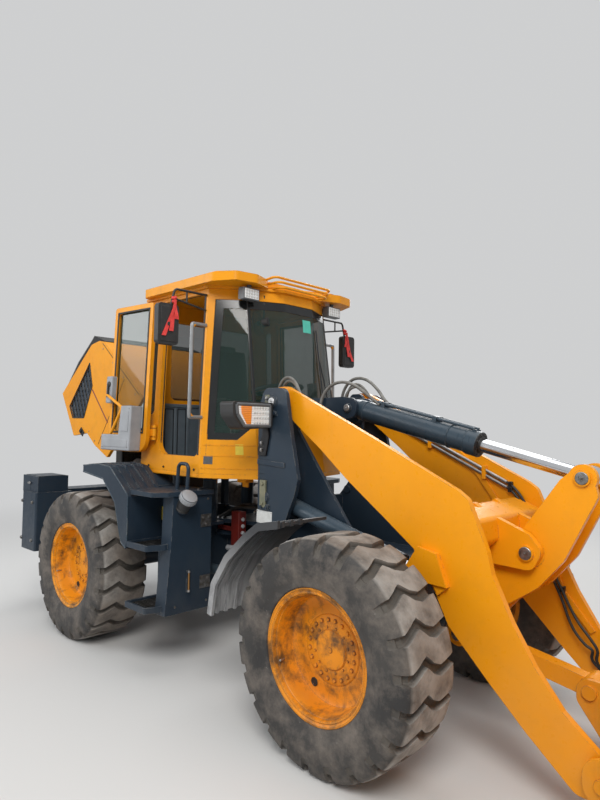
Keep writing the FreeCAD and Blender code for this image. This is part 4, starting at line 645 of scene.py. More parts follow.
rim = {
    # radius, distance out from the wheel's middle: the flange, its lock ring, the gutter and the dished disc
    "profile": [(300, -176), (329, -176), (330, -170), (322, -160), (311, -150), (309, -80), (309, 150), (318, 158),
                (327, 166), (330, 172), (329, 177), (321, 177.5), (315, 172), (309, 170), (305, 173), (299, 171),
                (296, 162), (294, 150), (292, 149), (290, 146), (287, 118), (283, 84), (279, 54), (273, 42),
                (262, 36), (246, 32), (226, 31), (206, 33), (184, 36), (176, 36), (172, 40), (168, 42), (128, 42),
                (124, 44), (100, 44), (97, 48), (95, 51), (90, 52.5), (60, 53), (20, 53), (0, 53)],
    "back": [(300, -176), (296, -120), (292, -30), (284, 8), (260, 20), (180, 20), (170, -58), (60, -60), (0, -60)],
    "wheelBolts": (148, 20, 10),    # ring's radius, number, size
    "hubBolts": (112, 12, 6),
    "handHoles": (58, 238),
    "valve": 200,
}


def makeRim(name, centreX, side, body, node):
    centre, out = Vector((centreX, side * wheel["trackHalf"], wheel["axleZ"])), Vector((0, side, 0))

    def spotAt(degrees, radius, proud):
        angle = math.radians(degrees)
        return centre + Vector((radius * math.cos(angle), side * proud, radius * math.sin(angle)))

    bm = bmesh.new()
    addTurned(bm, centre, out, rim["profile"], 96)
    addTurned(bm, centre, out, rim["back"], 96)
    bmesh.ops.remove_doubles(bm, verts=bm.verts, dist=0.01)
    addBoltRing(bm, centre + out * 42, out, *rim["wheelBolts"])
    addBoltRing(bm, centre + out * 44, out, *rim["hubBolts"])
    addTurned(bm, centre + out * 52, out, [(0, 0), (14, 0), (14, 5), (0, 5)], 6)
    piece = finishShape(name, bm, body, "yellow_paint", "wheelPaint", sharp=32)
    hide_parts(node)
    addPiece(body, name + "_holes", "black_metal", "blackPaint", *[
        (addTurned, spotAt(degrees, 232, 30.5), out, profile, 24) for degrees in rim["handHoles"] for profile in (
            [(0, 0), (15, 0), (15, 1.6), (0, 1.6)], [(15, 0), (21, 1.2), (23, 3.2), (18, 4.4), (15, 1.4)])])
    foot, bend, tip = (spotAt(rim["valve"], *way) for way in ((285, 110), (273, 144), (271, 156)))
    addPiece(body, name + "_valve", "black_metal", "zincPipe", (addRod, foot, bend, 4, 12),
             (addRod, bend, tip, 5.5, 12))


for end, centreX in (("front", wheel["frontX"]), ("rear", wheel["rearX"])):
    for sideName, side in sides:
        wheelName = end + "_" + sideName
        for make, kind, form in ((makeTyre, "tyre_", "_lugged"), (makeRim, "rim_", "_dished")):
            make(kind + wheelName + form, centreX, side, "wheel_" + wheelName, kind + wheelName)
print("wheels ready")


# the tower, the boom and its cylinders: places seen from the side
front = {
    "towerY": 517, "armY": 420, "armHalf": 19, "boomPin": (520, 1860), "liftBase": (460, 1240),
    "liftEye": (1555, 940), "tiltBase": (800, 1830), "rockerTop": (2293, 1468), "rockerPin": (2030, 1072),
    "rockerLow": (1620, 554), "couplerPin": (2490, 235),
}


# A round cap with a grease nipple on each end of a pin.
def pinEnds(name, body, slotName, finish, pins, faces, radius):
    cap = [(0, 0), (radius, 0), (radius, 3), (radius - 3, 5.5), (radius * 0.45, 6), (radius * 0.42, 4.5), (0, 4.5)]
    shapes = []
    for pin in pins:
        for face, side in faces:
            centre, out = alongSide(pin, face), (0, side, 0)
            shapes.append((addTurned, centre, out, cap, 28))
            shapes.append((addTurned, centre + Vector((0, side * 4.5, 0)), out,
                           [(0, 0), (4.5, 0), (4.5, 6), (2.5, 9), (0, 9)], 10))
    return addPiece(body, name, slotName, finish, *shapes)


def dressTower():
    for sideName, side in sides:
        face, out = side * (front["towerY"] + 0.2), (0, side, 0)

        def plate(outline, thick):
            return addSidePlate, outline, face, face + side * thick

        def bolts(x, proud, heights, size):
            return [(addBolt, (x, face + side * proud, z), out, size) for z in heights]

        pinEnds("tower_pin_ends_" + sideName, "front_frame", "grey_paint", "zincPipe",
                [front["boomPin"]], [(side * (front["towerY"] + 12.2), side)], 27)
        frontPiece("tower_welds_" + sideName, "grey_paint", "slatePaint", *[
            (addTurned, alongSide(pin, face), out, [(r, 0), (r + 9, 0), (r + 7, 4), (r + 2, 8), (r, 8)], 36)
            for pin, r in ((front["boomPin"], 36), (front["liftBase"], 29))], sharp=60)
        frontPiece("tower_seam_" + sideName, "grey_paint", "slatePaint",
                   *[(addBox, 400, 452, face, face + side * 3, z, z + 1.5) for z in (1320, 1355, 1390)],
                   plate([(388, 1452), (640, 1440), (640, 1470), (388, 1484)], 7), bevel=1.5)
        frontPiece("tower_plate_" + sideName, "grey_paint", "labelWhite",
                   plate([(384, 1072), (528, 1068), (530, 1150), (386, 1155)], 1.6), bevel=0.6)
        frontPiece("tower_plate_rivets_" + sideName, "grey_paint", "zincPipe", *[
            (addTurned, (x, face + side * 1.6, z), out, [(0, 0), (3.5, 0), (3, 2), (0, 2.6)], 12)
            for x, z in ((392, 1078), (521, 1076), (523, 1143), (393, 1147))])
        frontPiece("tower_keeper_" + sideName, "grey_paint", "primerOlive",
                   plate([(420, 1175), (474, 1175), (474, 1350), (420, 1350)], 12), *bolts(447, 12, (1200, 1325), 11),
                   bevel=2)
        strap = [(398, 1508), (472, 1508), (502, 1640), (482, 1722), (438, 1722), (438, 1642), (398, 1560)]
        frontPiece("lamp_strap_" + sideName, "black_metal", "blackPaint", plate(strap, 14), bevel=2)
        frontPiece("tower_bolts_" + sideName, "black_metal", "boltSteel", *bolts(435, 14, (1545, 1590), 12),
                   *bolts(470, 6, (1792, 1880), 13))
        frontPiece("tower_pin_plate_" + sideName, "grey_paint", "primerOlive",
                   plate([(450, 1765), (490, 1765), (492, 1905), (450, 1905)], 6), bevel=1.5)
    print("tower ready")


dressTower()


def dressCylinders():
    # each cylinder's gland with its bolts, the bands round its barrel, and the wiper, all on its own line
    liftEnds = (front["liftBase"], front["liftEye"])
    liftGland = math.dist(*liftEnds) - 95
    for name, body, (base, end), y, gland, barrelR, rodR in (
        ("tilt", "tilt_barrel", (front["tiltBase"], front["rockerTop"]), 0, 925, 67, 38),
        ("lift_right", "lift_barrel_right", liftEnds, -420, liftGland, 50, 31),
        ("lift_left", "lift_barrel_left", liftEnds, 420, liftGland, 50, 31),
    ):
        axis = Vector((end[0] - base[0], 0, end[1] - base[1])).normalized()
        foot = Vector((base[0], y, base[1]))
        face = foot + axis * gland
        addPiece(body, "gland_" + name, "grey_paint", "blackPaint",
                 (addTurned, face, axis, [(rodR + 1.2, 0), (barrelR + 5, 0), (barrelR + 5, 5), (rodR + 12, 8),
                                          (rodR + 10, 14), (rodR + 1.2, 14)], 48, True),
                 (addBoltRing, face + axis * 5, axis, (barrelR + rodR) / 2 + 6, 8, 6.5))
        band = [(barrelR - 1, -6), (barrelR + 4, -4), (barrelR + 5, 0), (barrelR + 4, 4), (barrelR - 1, 6)]
        addPiece(body, "barrel_bands_" + name, "grey_paint", "cylinderPaint", *[
            (addTurned, foot + axis * run, axis, band, 48, True) for run in (gland - 76, gland - 190, 96)], sharp=60)
        addPiece(body, "wiper_" + name, "grey_paint", "sealRubber",
                 (addTurned, face + axis * 14, axis, [(rodR + 0.5, 0), (rodR + 6, 0), (rodR + 4, 5), (rodR + 0.5, 6)],
                  40, True))
    # caps on the pins: name, body, slot, finish, pins, faces with their outward side, radius
    yellowSteel = ("yellow_paint", "boltSteel")
    for name, body, finish, pins, faces, radius in (
        ("tilt_base_ends", "front_frame", ("grey_paint", "zincPipe"), ["tiltBase"], [(-109.2, -1), (109.2, 1)], 24),
        ("rocker_pin_ends", "rocker", yellowSteel, ["rockerTop", "rockerLow"], [(-119.2, -1), (119.2, 1)], 32),
        ("boom_rocker_pin_ends", "boom", yellowSteel, ["rockerPin"], [(-163.2, -1), (163.2, 1)], 33),
        ("lift_eye_ends_right", "boom", yellowSteel, ["liftEye"], [(-482.2, -1), (-357.8, 1)], 21),
        ("lift_eye_ends_left", "boom", yellowSteel, ["liftEye"], [(482.2, 1), (357.8, -1)], 21),
    ):
        pinEnds(name, body, *finish, [front[pin] for pin in pins], faces, radius)
    print("cylinders ready")


dressCylinders()


def dressBoom():
    for sideName, side in sides:
        inner = side * (front["armY"] - front["armHalf"])
        pipeY = inner - side * 14

        def inward(x, away, z):
            return x, pipeY - side * away, z

        # steel pipes along the arm's inner face, and their hoses up over the tower
        for drop, lift in ((0, 0), (32, 26)):
            boomPiece("arm_pipe_%s_%d" % (sideName, drop), "chrome", "zincPipe",
                      (addRod, inward(685, 0, 1835 - drop), inward(1677, 0, 1378 - drop), 10.2, 20))
            addBendingHose("arm_hose_%s_%d" % (sideName, drop), [
                inward(404, 50 - lift, 1700), inward(405, 50 - lift, 1800), inward(407, 48 - lift, 1930 + lift),
                inward(470, 40 - lift * 0.6, 2010 + lift), inward(560, 24, 2000 + lift * 0.6), inward(640, 8, 1905),
                inward(668, 0, 1846 - drop), inward(700, 0, 1829 - drop)], 9.8, ("front_frame", "boom"),
                "wornHose", inward(470, 0, 1930), inward(670, 0, 1850))
        # hoses from the pipes' far ends, down the arm's inner face to the coupler's lock
        for k, (sag, run) in enumerate(((0, 0), (46, 26))):
            addHose("coupler_hose_%s_%d" % (sideName, k), [
                inward(1677, 0, 1378 - 32 * k), inward(1715, 0, 1360 - 32 * k), inward(1790, 6, 1275 - sag),
                inward(1860, 8, 1130 - sag), inward(1920, 8, 960 - sag), inward(2010, 10, 790 - sag),
                inward(2090 - run, 20, 640 - sag), inward(2170 - run, 34, 560 - sag), inward(2215 - run, 30, 500),
                inward(2190 - run, 14, 440), inward(2230, 0, 380), inward(2300, 0, 330)], 8,
                "boom", "hoseRubber")
        boomPiece("hose_clamps_" + sideName, "yellow_paint", "blackPaint", *[
            (addBox, x - 13, x + 13, inner - side * 0.3, inner - side * 24, z - 16, z + 16)
            for x, z in ((1700, 1366), (1700, 1334), (1866, 1120), (2012, 790), (2290, 335))], bevel=2)
        boomPiece("boss_welds_" + sideName, "yellow_paint", "armPaint", *[
            (addTurned, alongSide(pin, face), (0, out, 0), [(r, 0), (r + 8, 0), (r + 6, 4), (r + 1, 7)], 48)
            for face, out in ((side * 439.2, side), (side * 400.8, -side))
            for pin, r in ((front["boomPin"], 70), (front["couplerPin"], 80))], sharp=60)
    # hoses over the tilt cylinder: two loops from the tower's crown to its pipes
    for k, y in enumerate((-24, 24)):
        addBendingHose("tilt_hose_%d" % k, [
            (560 - 10 * k, y * 5, 1700), (566 - 10 * k, y * 5, 1840), (600 - 10 * k, y * 4.4, 1950 + 20 * k),
            (690, y * 3.6, 2010 + 36 * k), (800 + 30 * k, y * 2.6, 2000 + 36 * k),
            (900 + 50 * k, y * 1.6, 1930 + 24 * k), (960 + 60 * k, y, 1880 - 14 * k),
            (1010 + 70 * k, y, 1851 - 14 * k)], 10.5, ("front_frame", "tilt_barrel"),
            "wornHose", (640, 0, 1980), (940, 0, 1900))
    print("boom ready")


dressBoom()


cab = {"floorZ": 1335, "height": 1335, "rearX": -820, "pillarX": -60, "noseX": -28, "lowY": 660, "topY": 610,
       "headZ": 2595}


def sideAt(z):
    return cab["lowY"] + (cab["topY"] - cab["lowY"]) * (z - cab["floorZ"]) / cab["height"]


# The cab's outline in plan at a height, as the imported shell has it: pillar, cheek and front corners.
def cabCorners(z):
    share = (z - cab["floorZ"]) / cab["height"]
    cheekX, cheekY = cab["pillarX"] + 360 - 190 * share, 425 - 20 * share
    frontX = cab["pillarX"] + 440 - 150 * share
    return [(cab["pillarX"], -sideAt(z)), (cheekX, -cheekY), (frontX, -150), (frontX, 150), (cheekX, cheekY),
            (cab["pillarX"], sideAt(z))]


def cabPoint(edge, share, z, lift):
    corners = cabCorners(z)
    a, b = Vector(corners[edge]), Vector(corners[edge + 1])
    spot = a + (b - a) * share + Vector((b.y - a.y, a.x - b.x)).normalized() * lift
    return Vector((spot.x, spot.y, z))


# A thin closed slab that follows a surface; place(u, v, lift) gives its points.
def addPatch(bm, place, across, up, low, high):
    grids = [[[bm.verts.new(place(i / across, j / up, lift)) for j in range(up + 1)] for i in range(across + 1)]
             for lift in (low, high)]
    for i in range(across):
        for j in range(up):
            for grid in grids:
                bm.faces.new((grid[i][j], grid[i + 1][j], grid[i + 1][j + 1], grid[i][j + 1]))
    low, high = grids
    for i in range(across):
        for j in (0, up):
            bm.faces.new((low[i][j], low[i + 1][j], high[i + 1][j], high[i][j]))
    for j in range(up):
        for i in (0, across):
            bm.faces.new((low[i][j], low[i][j + 1], high[i][j + 1], high[i][j]))


# A slab on one face of the cab: the share of the face that it spans, its height band, and how far it stands out.
def cabSlab(edge, share, wide, z, tall, across, up, low, high, sunk=0):
    return (addPatch, lambda u, v, lift: cabPoint(edge, share + wide * u, z + tall * v, lift - sunk),
            across, up, low, high)


# the lower edge of the side panes, which steps up beside the nose
def paneLow(x):
    return 1602 + 88 * min(max((x - 150) / 82, 0), 1)


def dressWindshield():
    headZ, paneX = cab["headZ"], cab["noseX"] + 1

    def shareOfX(x, z):    # where along the side pane an x lies
        (x0, _), (x1, _) = cabCorners(z)[:2]
        return (x - x0) / (x1 - x0)

    def wide(u, z):
        return shareOfX(paneX, z) + u * (1 - shareOfX(paneX, z))

    def even(u, z):
        return u

    def lowOf(u):
        return paneLow(cabPoint(0, 0.08 + 0.92 * u, 1640, 0).x)

    # the black border of the panes: edge, share across, height, cells across and up, from and to above the glass
    bands = [
        (0, lambda u, z: shareOfX(paneX + 42 * u, z), lambda u, v: 1603 + (headZ - 1604) * v, 2, 16, 0.5, 2.5),
        (0, wide, lambda u, v: lowOf(u) + 1 + 46 * v, 24, 2, 0.6, 2.6),
        (0, wide, lambda u, v: headZ - 62 + 61 * v, 16, 2, 0.6, 2.6),
        (1, even, lambda u, v: 1691 + 44 * v, 6, 2, 0.6, 2.6),
        (1, even, lambda u, v: headZ - 62 + 61 * v, 6, 2, 0.6, 2.6),
        (0, lambda u, z: 0.965 + 0.035 * u, lambda u, v: 1694 + (headZ - 1698) * v, 1, 16, 0.4, 3.0),
        (1, lambda u, z: 0.06 * u, lambda u, v: 1694 + (headZ - 1698) * v, 1, 16, 0.4, 3.0),
    ]
    border = bmesh.new()
    for mirror in (1, -1):
        for edge, shareOf, zOf, *cells in bands:
            def place(u, v, lift):
                z = zOf(u, v)
                spot = cabPoint(edge, shareOf(u, z), z, lift - 8)
                return Vector((spot.x, spot.y * mirror, z))
            addPatch(border, place, *cells)
    for z, tall in ((1691, 44), (headZ - 62, 61)):
        draw, *sizes = cabSlab(2, 0, 1, z, tall, 4, 2, 0.6, 2.6, 8)
        draw(border, *sizes)
    finishShape("windshield_border", border, "rear_frame", "glass", "glassBorder", sharp=40)
    # rubber beads down the seams between the panes
    for mirror in (1, -1):
        for edge in (1, 0):
            points = []
            for k in range(5):
                z = 1640 + (headZ - 1640) * k / 4 - (4 if k == 4 else 0)
                spot = cabPoint(edge, 0 if edge else shareOfX(cab["noseX"] + 2, z), z, -5.5)
                points.append((spot.x, spot.y * mirror, z))
            addHose("pane_seam_%d_%d" % (edge, mirror), points, 4, "rear_frame", "sealRubber")
    # a blank sticker inside the glass, and the wiper
    rearPiece("windshield_sticker", "black_plastic", "stickerTeal", cabSlab(2, 0.62, 0.28, 2405, 95, 2, 2, 0, 0.8, 7.2))
    foot, mid, tip = cabPoint(3, 0.55, 1712, 2), cabPoint(3, 0.46, 1950, 16), cabPoint(3, 0.22, 2200, 3)
    low, high, ahead = cabPoint(3, 0.30, 1935, -1), cabPoint(3, 0.16, 2440, -1), Vector((4, 0, 0))
    rearPiece("wiper", "black_plastic", "mouldedBlack", (addRod, foot, mid, 6), (addRod, mid, tip + ahead, 4.5),
              (addTurned, cabPoint(3, 0.55, 1712, -3), (1, 0.3, 0), [(0, 0), (20, 0), (18, 18), (8, 24), (0, 24)], 20),
              (addRod, low, high, 4), (addRod, low + ahead, high + ahead, 3))
    print("windshield ready")


dressWindshield()


# Four strips round a rectangle: across the side (x and z) or, with "X", across the front (y and z).
def frameStrips(bm, x0, x1, z0, z1, width, near, far, facing="Y"):
    posts = [(x0, x0 + width, near, far), (x1 - width, x1, near, far)]
    if facing == "X":
        posts = [(x0, x1, near, near + width), (x0, x1, far - width, far)]
    for z in (z0, z1 - width):
        addBox(bm, x0, x1, near, far, z, z + width)
    for post in posts:
        addBox(bm, *post, z0 + width, z1 - width)


def dressCabShell():
    for sideName, side in sides:
        out = (0, side, 0)

        def onSide(x, z, proud):    # a point on the cab's leaning side
            return x, side * (sideAt(z) + proud), z

        # the seal round the door opening
        outline = [(-602.5, 1479), (-97.5, 1479), (-97.5, 2641), (-602.5, 2641)]
        rearPiece("door_seal_" + sideName, "black_plastic", "sealRubber", *[
            (addRod, onSide(*a, -30), onSide(*b, -30), 4.5, 10) for a, b in zip(outline, outline[1:] + outline[:1])])
        # the cab base: a folded lip, bolts and the brackets under it
        rearPiece("cab_lip_" + sideName, "yellow_paint", "yellowPaint",
                  sideBox(side, cab["rearX"] + 8, cab["pillarX"] - 4, 655, 662.5, 1337, 1352), bevel=2)
        rearPiece("cab_bolts_" + sideName, "black_metal", "blackPaint",
                  *[(addBolt, (x, side * 661.2, 1390), out, 7) for x in (-700, -500, -300, -120)],
                  *[(addTurned, onSide(-88, z, -0.5), out, [(0, 0), (6, 0), (5, 2.4), (0, 3)], 14)
                    for z in (1500, 1700, 1900, 2100, 2300, 2500)])
        brackets = []
        for x in (-300, 60):
            brackets.append(sideBox(side, x - 45, x + 45, 300, 380, 1296, 1333))
            brackets.append(sideBox(side, x - 30, x + 30, 330, 342, 1262, 1300))
        rearPiece("cab_brackets_" + sideName, "yellow_paint", "yellowPaint", *brackets, bevel=3)
        # the grab handle's grey sleeve, and the dark channel beside the door opening
        high, low = cab["floorZ"] + cab["height"] - 265, cab["floorZ"] + 420
        handle = [(sideAt(high) + 3, high), (702, high), (736, high), (742.3, high - 8), (742.8, high - 42),
                  (747, (high + low) / 2), (751.2, low + 42), (751.5, low + 8), (745, low), (711, low),
                  (sideAt(low) + 3, low)]
        addHose("grab_handle_" + sideName, [(-66, side * y, z) for y, z in handle], 13.6, "rear_frame",
                "handleGrey")
        channel = [(-100, 1492), (-81, 1492), (-81, 2630), (-100, 2630)]
        rearPiece("door_channel_" + sideName, "black_plastic", "sealRubber",
                  (addPrism, [Vector(onSide(x, z, -1)) for x, z in channel], Vector((0, side * 2.6, 0))))
    # a blank plate and a blank label low on the right cheek, and the pressed creases round the nose
    rearPiece("cab_plate", "black_metal", "labelGrey", cabSlab(0, 0.06, 0.16, 1432, 62, 3, 1, 0.3, 1.5), bevel=0.4)
    rearPiece("cab_label", "yellow_paint", "labelYellow", cabSlab(0, 0.62, 0.14, 1500, 72, 3, 1, 0.2, 0.9), bevel=0.2)
    rearPiece("cab_cheek_creases", "yellow_paint", "yellowPaint", *[
        cabSlab(edge, 0.02, 0.96, z, 7, 12, 1, 0.2, 1.8) for z in (1400, 1486, 1560) for edge in (0, 4)], sharp=60)
    print("cab shell ready")


dressCabShell()


def dressCabInside():
    # the rear wall's moulded panel with its ribs, and black strips as painted shade round its tall recesses
    rearPiece("cab_rear_trim", "black_plastic", "panelGrey", (addBox, -774, -760, -540, 540, 1372, 1870),
              *[(addBox, -760.5, -752, y, y + 26, 1400, 1840) for y in (-520, -400, -280, 220, 340, 460)],
              (addBox, -760.5, -750, -540, 540, 1842, 1868), bevel=4)
    # black strips round the tall recesses: painted shade along their edges, drawn on the flat panel
    rearPiece("cab_rear_recesses", "black_plastic", "sealRubber", *[
        (frameStrips, -760.6, -757, 1410, 1830, 6, y, y + 84, "X") for y in (-490, -370, 250, 370)])
    rearPiece("cab_mat", "black_plastic", "mouldedBlack", (addBox, -770, -80, -600, 600, 1366, 1374), bevel=3)
    # the console beside the seat, the dash, the levers and the pedals
    rearPiece("left_console", "black_plastic", "mouldedBlack", (addBox, -600, -120, 262, 470, 1374, 1760),
              (addBox, -560, -160, 276, 456, 1760, 1790), bevel=22, segments=3)
    rearPiece("dash", "black_plastic", "mouldedBlack", (addBox, 60, 200, -260, 260, 1560, 1740),
              (addBox, 20, 180, -190, 190, 1740, 1830), bevel=26, segments=3)
    for k, y in enumerate((-300, -262)):
        addHose("lever_%d" % k, [(-170, y, 1372), (-165, y, 1560), (-150, y - 6, 1740), (-140, y - 8, 1850)], 7,
                "rear_frame", "zincPipe")
        knob = [(0, 0), (13, 4), (21, 22), (19, 40), (10, 50), (0, 52)]
        rearPiece("lever_knob_%d" % k, "black_plastic", "mouldedBlack",
                  (addTurned, (-139, y - 8, 1845), (0.05, 0, 1), knob, 20))
    rearPiece("pedals", "black_metal", "blackPaint", *[
        (addPrism, [Vector(p) for p in ((170, y, 1400), (170, y + 80, 1400), (230, y + 80, 1500), (230, y, 1500))],
         Vector((-10, 0, 8))) for y in (-160, 130)], bevel=3)
    # the little fan behind the glass, on its stalk
    centre, facing = Vector((120, -300, 2440)), (-0.8, -0.3, -0.1)
    rearPiece("cab_fan", "black_plastic", "mouldedBlack", *[
        (addTurned, centre, facing, [(r - 1.6, -1.6), (r + 1.6, -1.6), (r + 1.6, 1.6), (r - 1.6, 1.6)], 36, True)
        for r in (18, 42, 64, 84)],
        (addTurned, centre, facing, [(0, -12), (16, -12), (18, 0), (12, 8), (0, 9)], 24),
        (addTurned, centre + Vector((38, 14, 4)), (0.8, 0.3, 0.1), [(0, 0), (34, 0), (30, 44), (0, 48)], 24),
        (addRod, (165, -285, 2450), (165, -285, 2640), 8))


dressCabInside()


# A crowned cushion: soft edges, sides that pull in between the corners, and sewn channels.
def addCushion(name, centre, half, lean, channels, node=None):
    bm = bmesh.new()
    bmesh.ops.create_cube(bm, size=2)
    bmesh.ops.subdivide_edges(bm, edges=bm.edges, cuts=17, use_grid_fill=True)
    for v in bm.verts:
        x, y, z = v.co
        edge = max(abs(x), abs(y))
        plump = (1 - abs(x) ** 6) ** 0.35 * (1 - abs(y) ** 6) ** 0.35 if edge < 0.999 else 0.0
        plump = 0.30 + 0.70 * plump
        pull = 1 - 0.035 * (1 - abs(z)) - 0.02 * (1 - min(abs(x), abs(y)) ** 2)
        sewn = sum(math.exp(-((y - c) / 0.035) ** 2) for c in channels) if z > 0.2 else 0
        sewn += 0.7 * math.exp(-((x - 0.35) / 0.04) ** 2) if z > 0.2 else 0
        crown = 1 + 0.16 * (1 - x * x) * (1 - y * y) * (1 if z > 0 else 0.2)
        v.co = Vector((x * half[0] * pull, y * half[1] * pull, z * half[2] * plump * crown - 5 * min(sewn, 1)))
    bmesh.ops.smooth_vert(bm, verts=bm.verts, factor=0.5, use_axis_x=True, use_axis_y=True, use_axis_z=True)
    bm.transform(Matrix.Translation(centre) @ Matrix.Rotation(math.radians(lean), 4, "Y"))
    piece = finishShape(name, bm, "rear_frame", "seat_fabric", "seatVinyl", sharp=80)
    soft = piece.modifiers.new("soft", "SUBSURF")
    soft.levels = soft.render_levels = 1
    if node:
        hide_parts(node)


def makeSeat():
    addCushion("seat_cushion", (-345, 0, 1762), (250, 236, 58), -3, (-0.5, 0.5), "seat")
    addCushion("seat_back", (-602, 0, 2040), (300, 226, 55), 82, (-0.5, 0.5))
    addCushion("seat_headrest", (-648, 0, 2310), (62, 130, 38), 80, ())
    for k, y in enumerate((-218, 218)):
        addCushion("seat_armrest_%d" % k, (-430, y, 1900), (140, 24, 20), 0, ())
    bm = bmesh.new()    # the suspension box: a bellows between two plates
    profile = [(0, 0)]
    for k in range(9):
        profile += [(150, 8 + k * 30), (166, 18 + k * 30), (166, 26 + k * 30)]
    profile += [(150, 285), (0, 285)]
    foot = Vector((-370, 0, 1376))
    addTurned(bm, foot, (0, 0, 1), profile, 4)
    bmesh.ops.rotate(bm, cent=foot, matrix=Matrix.Rotation(math.radians(45), 3, "Z"), verts=bm.verts)
    addBox(bm, -560, -180, -185, 185, 1372, 1386)
    addBox(bm, -570, -160, -195, 195, 1662, 1690)
    finishShape("seat_base", bm, "rear_frame", "black_plastic", "mouldedBlack", bevel=3)
    print("seat ready")


makeSeat()


# the doors: drawn on the right side as if shut, then leaned with the cab and swung or mirrored
lean = turnedAbout(Vector((0, -cab["lowY"], cab["floorZ"])), -sideLean, "X")
door = {"skin": -658, "inside": -624, "window": (-554, -146, 1633, 2592),
        "turns": {"right": doorTurn @ lean, "left": Matrix.Scale(-1, 4, (0, 1, 0)) @ lean}}


def dressDoor(sideName):
    skin, inside = door["skin"], door["inside"]
    x0, x1, z0, z1 = door["window"]

    def piece(name, slotName, finish, *shapes, **options):
        addPiece("door_" + sideName, name + "_" + sideName, slotName, finish, *shapes, turn=door["turns"][sideName],
                 **options)

    seal = (x0 - 5, x1 + 5, z0 - 5, z1 + 5, 15)
    piece("door_window_seal", "black_plastic", "sealRubber", (frameStrips, *seal, skin - 3.5, skin + 2),
          (frameStrips, *seal, inside - 2, inside + 4), bevel=2.5)
    # the moulded bin, with black sheets on its top as painted shade where its mouths open, and the latch cover on the
    # inside
    tray = [(-530, 1493), (-159, 1493), (-159, 1614), (-379, 1614), (-398, 1834), (-530, 1834)]
    piece("door_bin", "black_plastic", "binGrey", (addSidePlate, tray, inside - 4, inside + 100), bevel=9, segments=3)
    # black sheets over the bin's mouths: painted shade standing for the shaded hollow inside
    piece("door_bin_mouth_shade", "black_plastic", "sealRubber",
          (addBox, -516, -412, inside + 14, inside + 88, 1833, 1835.5),
          (addBox, -366, -176, inside + 14, inside + 88, 1613, 1615.5), bevel=1)
    piece("door_bin_ribs", "black_plastic", "binGrey", (addBox, -500, -186, inside + 99, inside + 103.5, 1520, 1580),
          (addBox, -505, -422, inside + 99, inside + 103.5, 1640, 1790), bevel=4)
    piece("door_latch_cover", "black_plastic", "binGrey", (addBox, -188, -110, inside + 1, inside + 50, 1861, 2075),
          bevel=9, segments=3)
    piece("door_latch_lever", "black_plastic", "mouldedBlack",
          (addTurned, (-150, inside + 50, 2010), (0, 1, 0), [(0, 0), (24, 0), (22, 7), (10, 12), (0, 13)], 28),
          (addBox, -158, -142, inside + 50, inside + 66, 1905, 2015), bevel=3)
    piece("door_screws", "black_metal", "boltSteel", *[
        (addTurned, (x, inside + (50 if x > -180 else 100), z), (0, 1, 0), [(0, 0), (5, 0), (4, 2), (0, 2.6)], 12)
        for x, z in ((-176, 1875), (-122, 1875), (-176, 2062), (-122, 2062), (-506, 1520), (-182, 1520), (-506, 1812))])
    # the outer handle in its dish
    piece("door_handle", "black_plastic", "mouldedBlack",
          (addTurned, (-150, skin - 0.5, 1572), (0, -1, 0), [(0, 0), (34, 0), (34, 2), (30, 4), (0, 3)], 32),
          (addBox, -196, -132, skin - 14, skin - 2, 1566, 1580), bevel=2)
    piece("door_hinge_bolts", "black_metal", "boltSteel", *[
        (addBolt, (-580, skin - 8, z), (0, -1, 0), 5) for z in (1624, 1656, 2404, 2436)])


for sideName, side in sides:
    dressDoor(sideName)
print("doors ready")


# One slanted slat of the side window: the part of a long bar that lies inside the convex outline.
def addClippedBar(bm, outline, reach, k, skin, side):
    middle = Vector((sum(p[0] for p in outline) / len(outline), sum(p[1] for p in outline) / len(outline)))
    along, across = Vector((math.cos(0.5), -math.sin(0.5))), Vector((math.sin(0.5), math.cos(0.5)))
    start = middle + across * (58 * (k - 5) - 11)
    bar = [start - along * reach, start + along * reach, start + along * reach + across * 24,
           start - along * reach + across * 24]
    for a, b in zip(outline, outline[1:] + outline[:1]):
        edge = Vector((b[0] - a[0], b[1] - a[1]))
        inward = Vector((-edge.y, edge.x)).normalized()
        if inward.dot(middle - Vector(a)) < 0:
            inward = -inward
        kept = []
        for p, q in zip(bar, bar[1:] + bar[:1]):
            dp, dq = inward.dot(p - Vector(a)) - 6, inward.dot(q - Vector(a)) - 6
            if dp >= 0:
                kept.append(p)
            if (dp >= 0) != (dq >= 0):
                kept.append(p + (q - p) * (dp / (dp - dq)))
        bar = kept
        if len(bar) < 3:
            return
    addPrism(bm, [Vector((p.x, skin - side * 14, p.y)) for p in bar], Vector((0, side * 8, 0)))


# the hood, drawn shut and then raised; its places are counted from its hinge
hood = {
    "half": 550, "seamBack": -868,
    "window": [(-958, -297), (-777, -434), (-719, -755), (-902, -892), (-1026, -845)],
    "stripe": [(-760, -452), (-335, -512), (-335, -526), (-760, -466)],
    "screws": [(-830, -60), (-600, -60), (-370, -60), (-120, -60), (-560, -790), (-420, -790)],
    "surroundBar": [(-858, 3), (-936, -41), (-1038, -147), (-1092, -128), (-1080, -74)],
    "surroundPost": [(-1036, -140), (-1236, -843), (-1243, -838), (-1188, -440), (-1092, -128)],
    "surroundFoot": [(-1215, -770), (-1236, -843), (-1243, -838), (-1229, -766)],
    "trim": [(-1080, -74), (-1092, -128), (-1188, -440), (-1243, -838)],
}


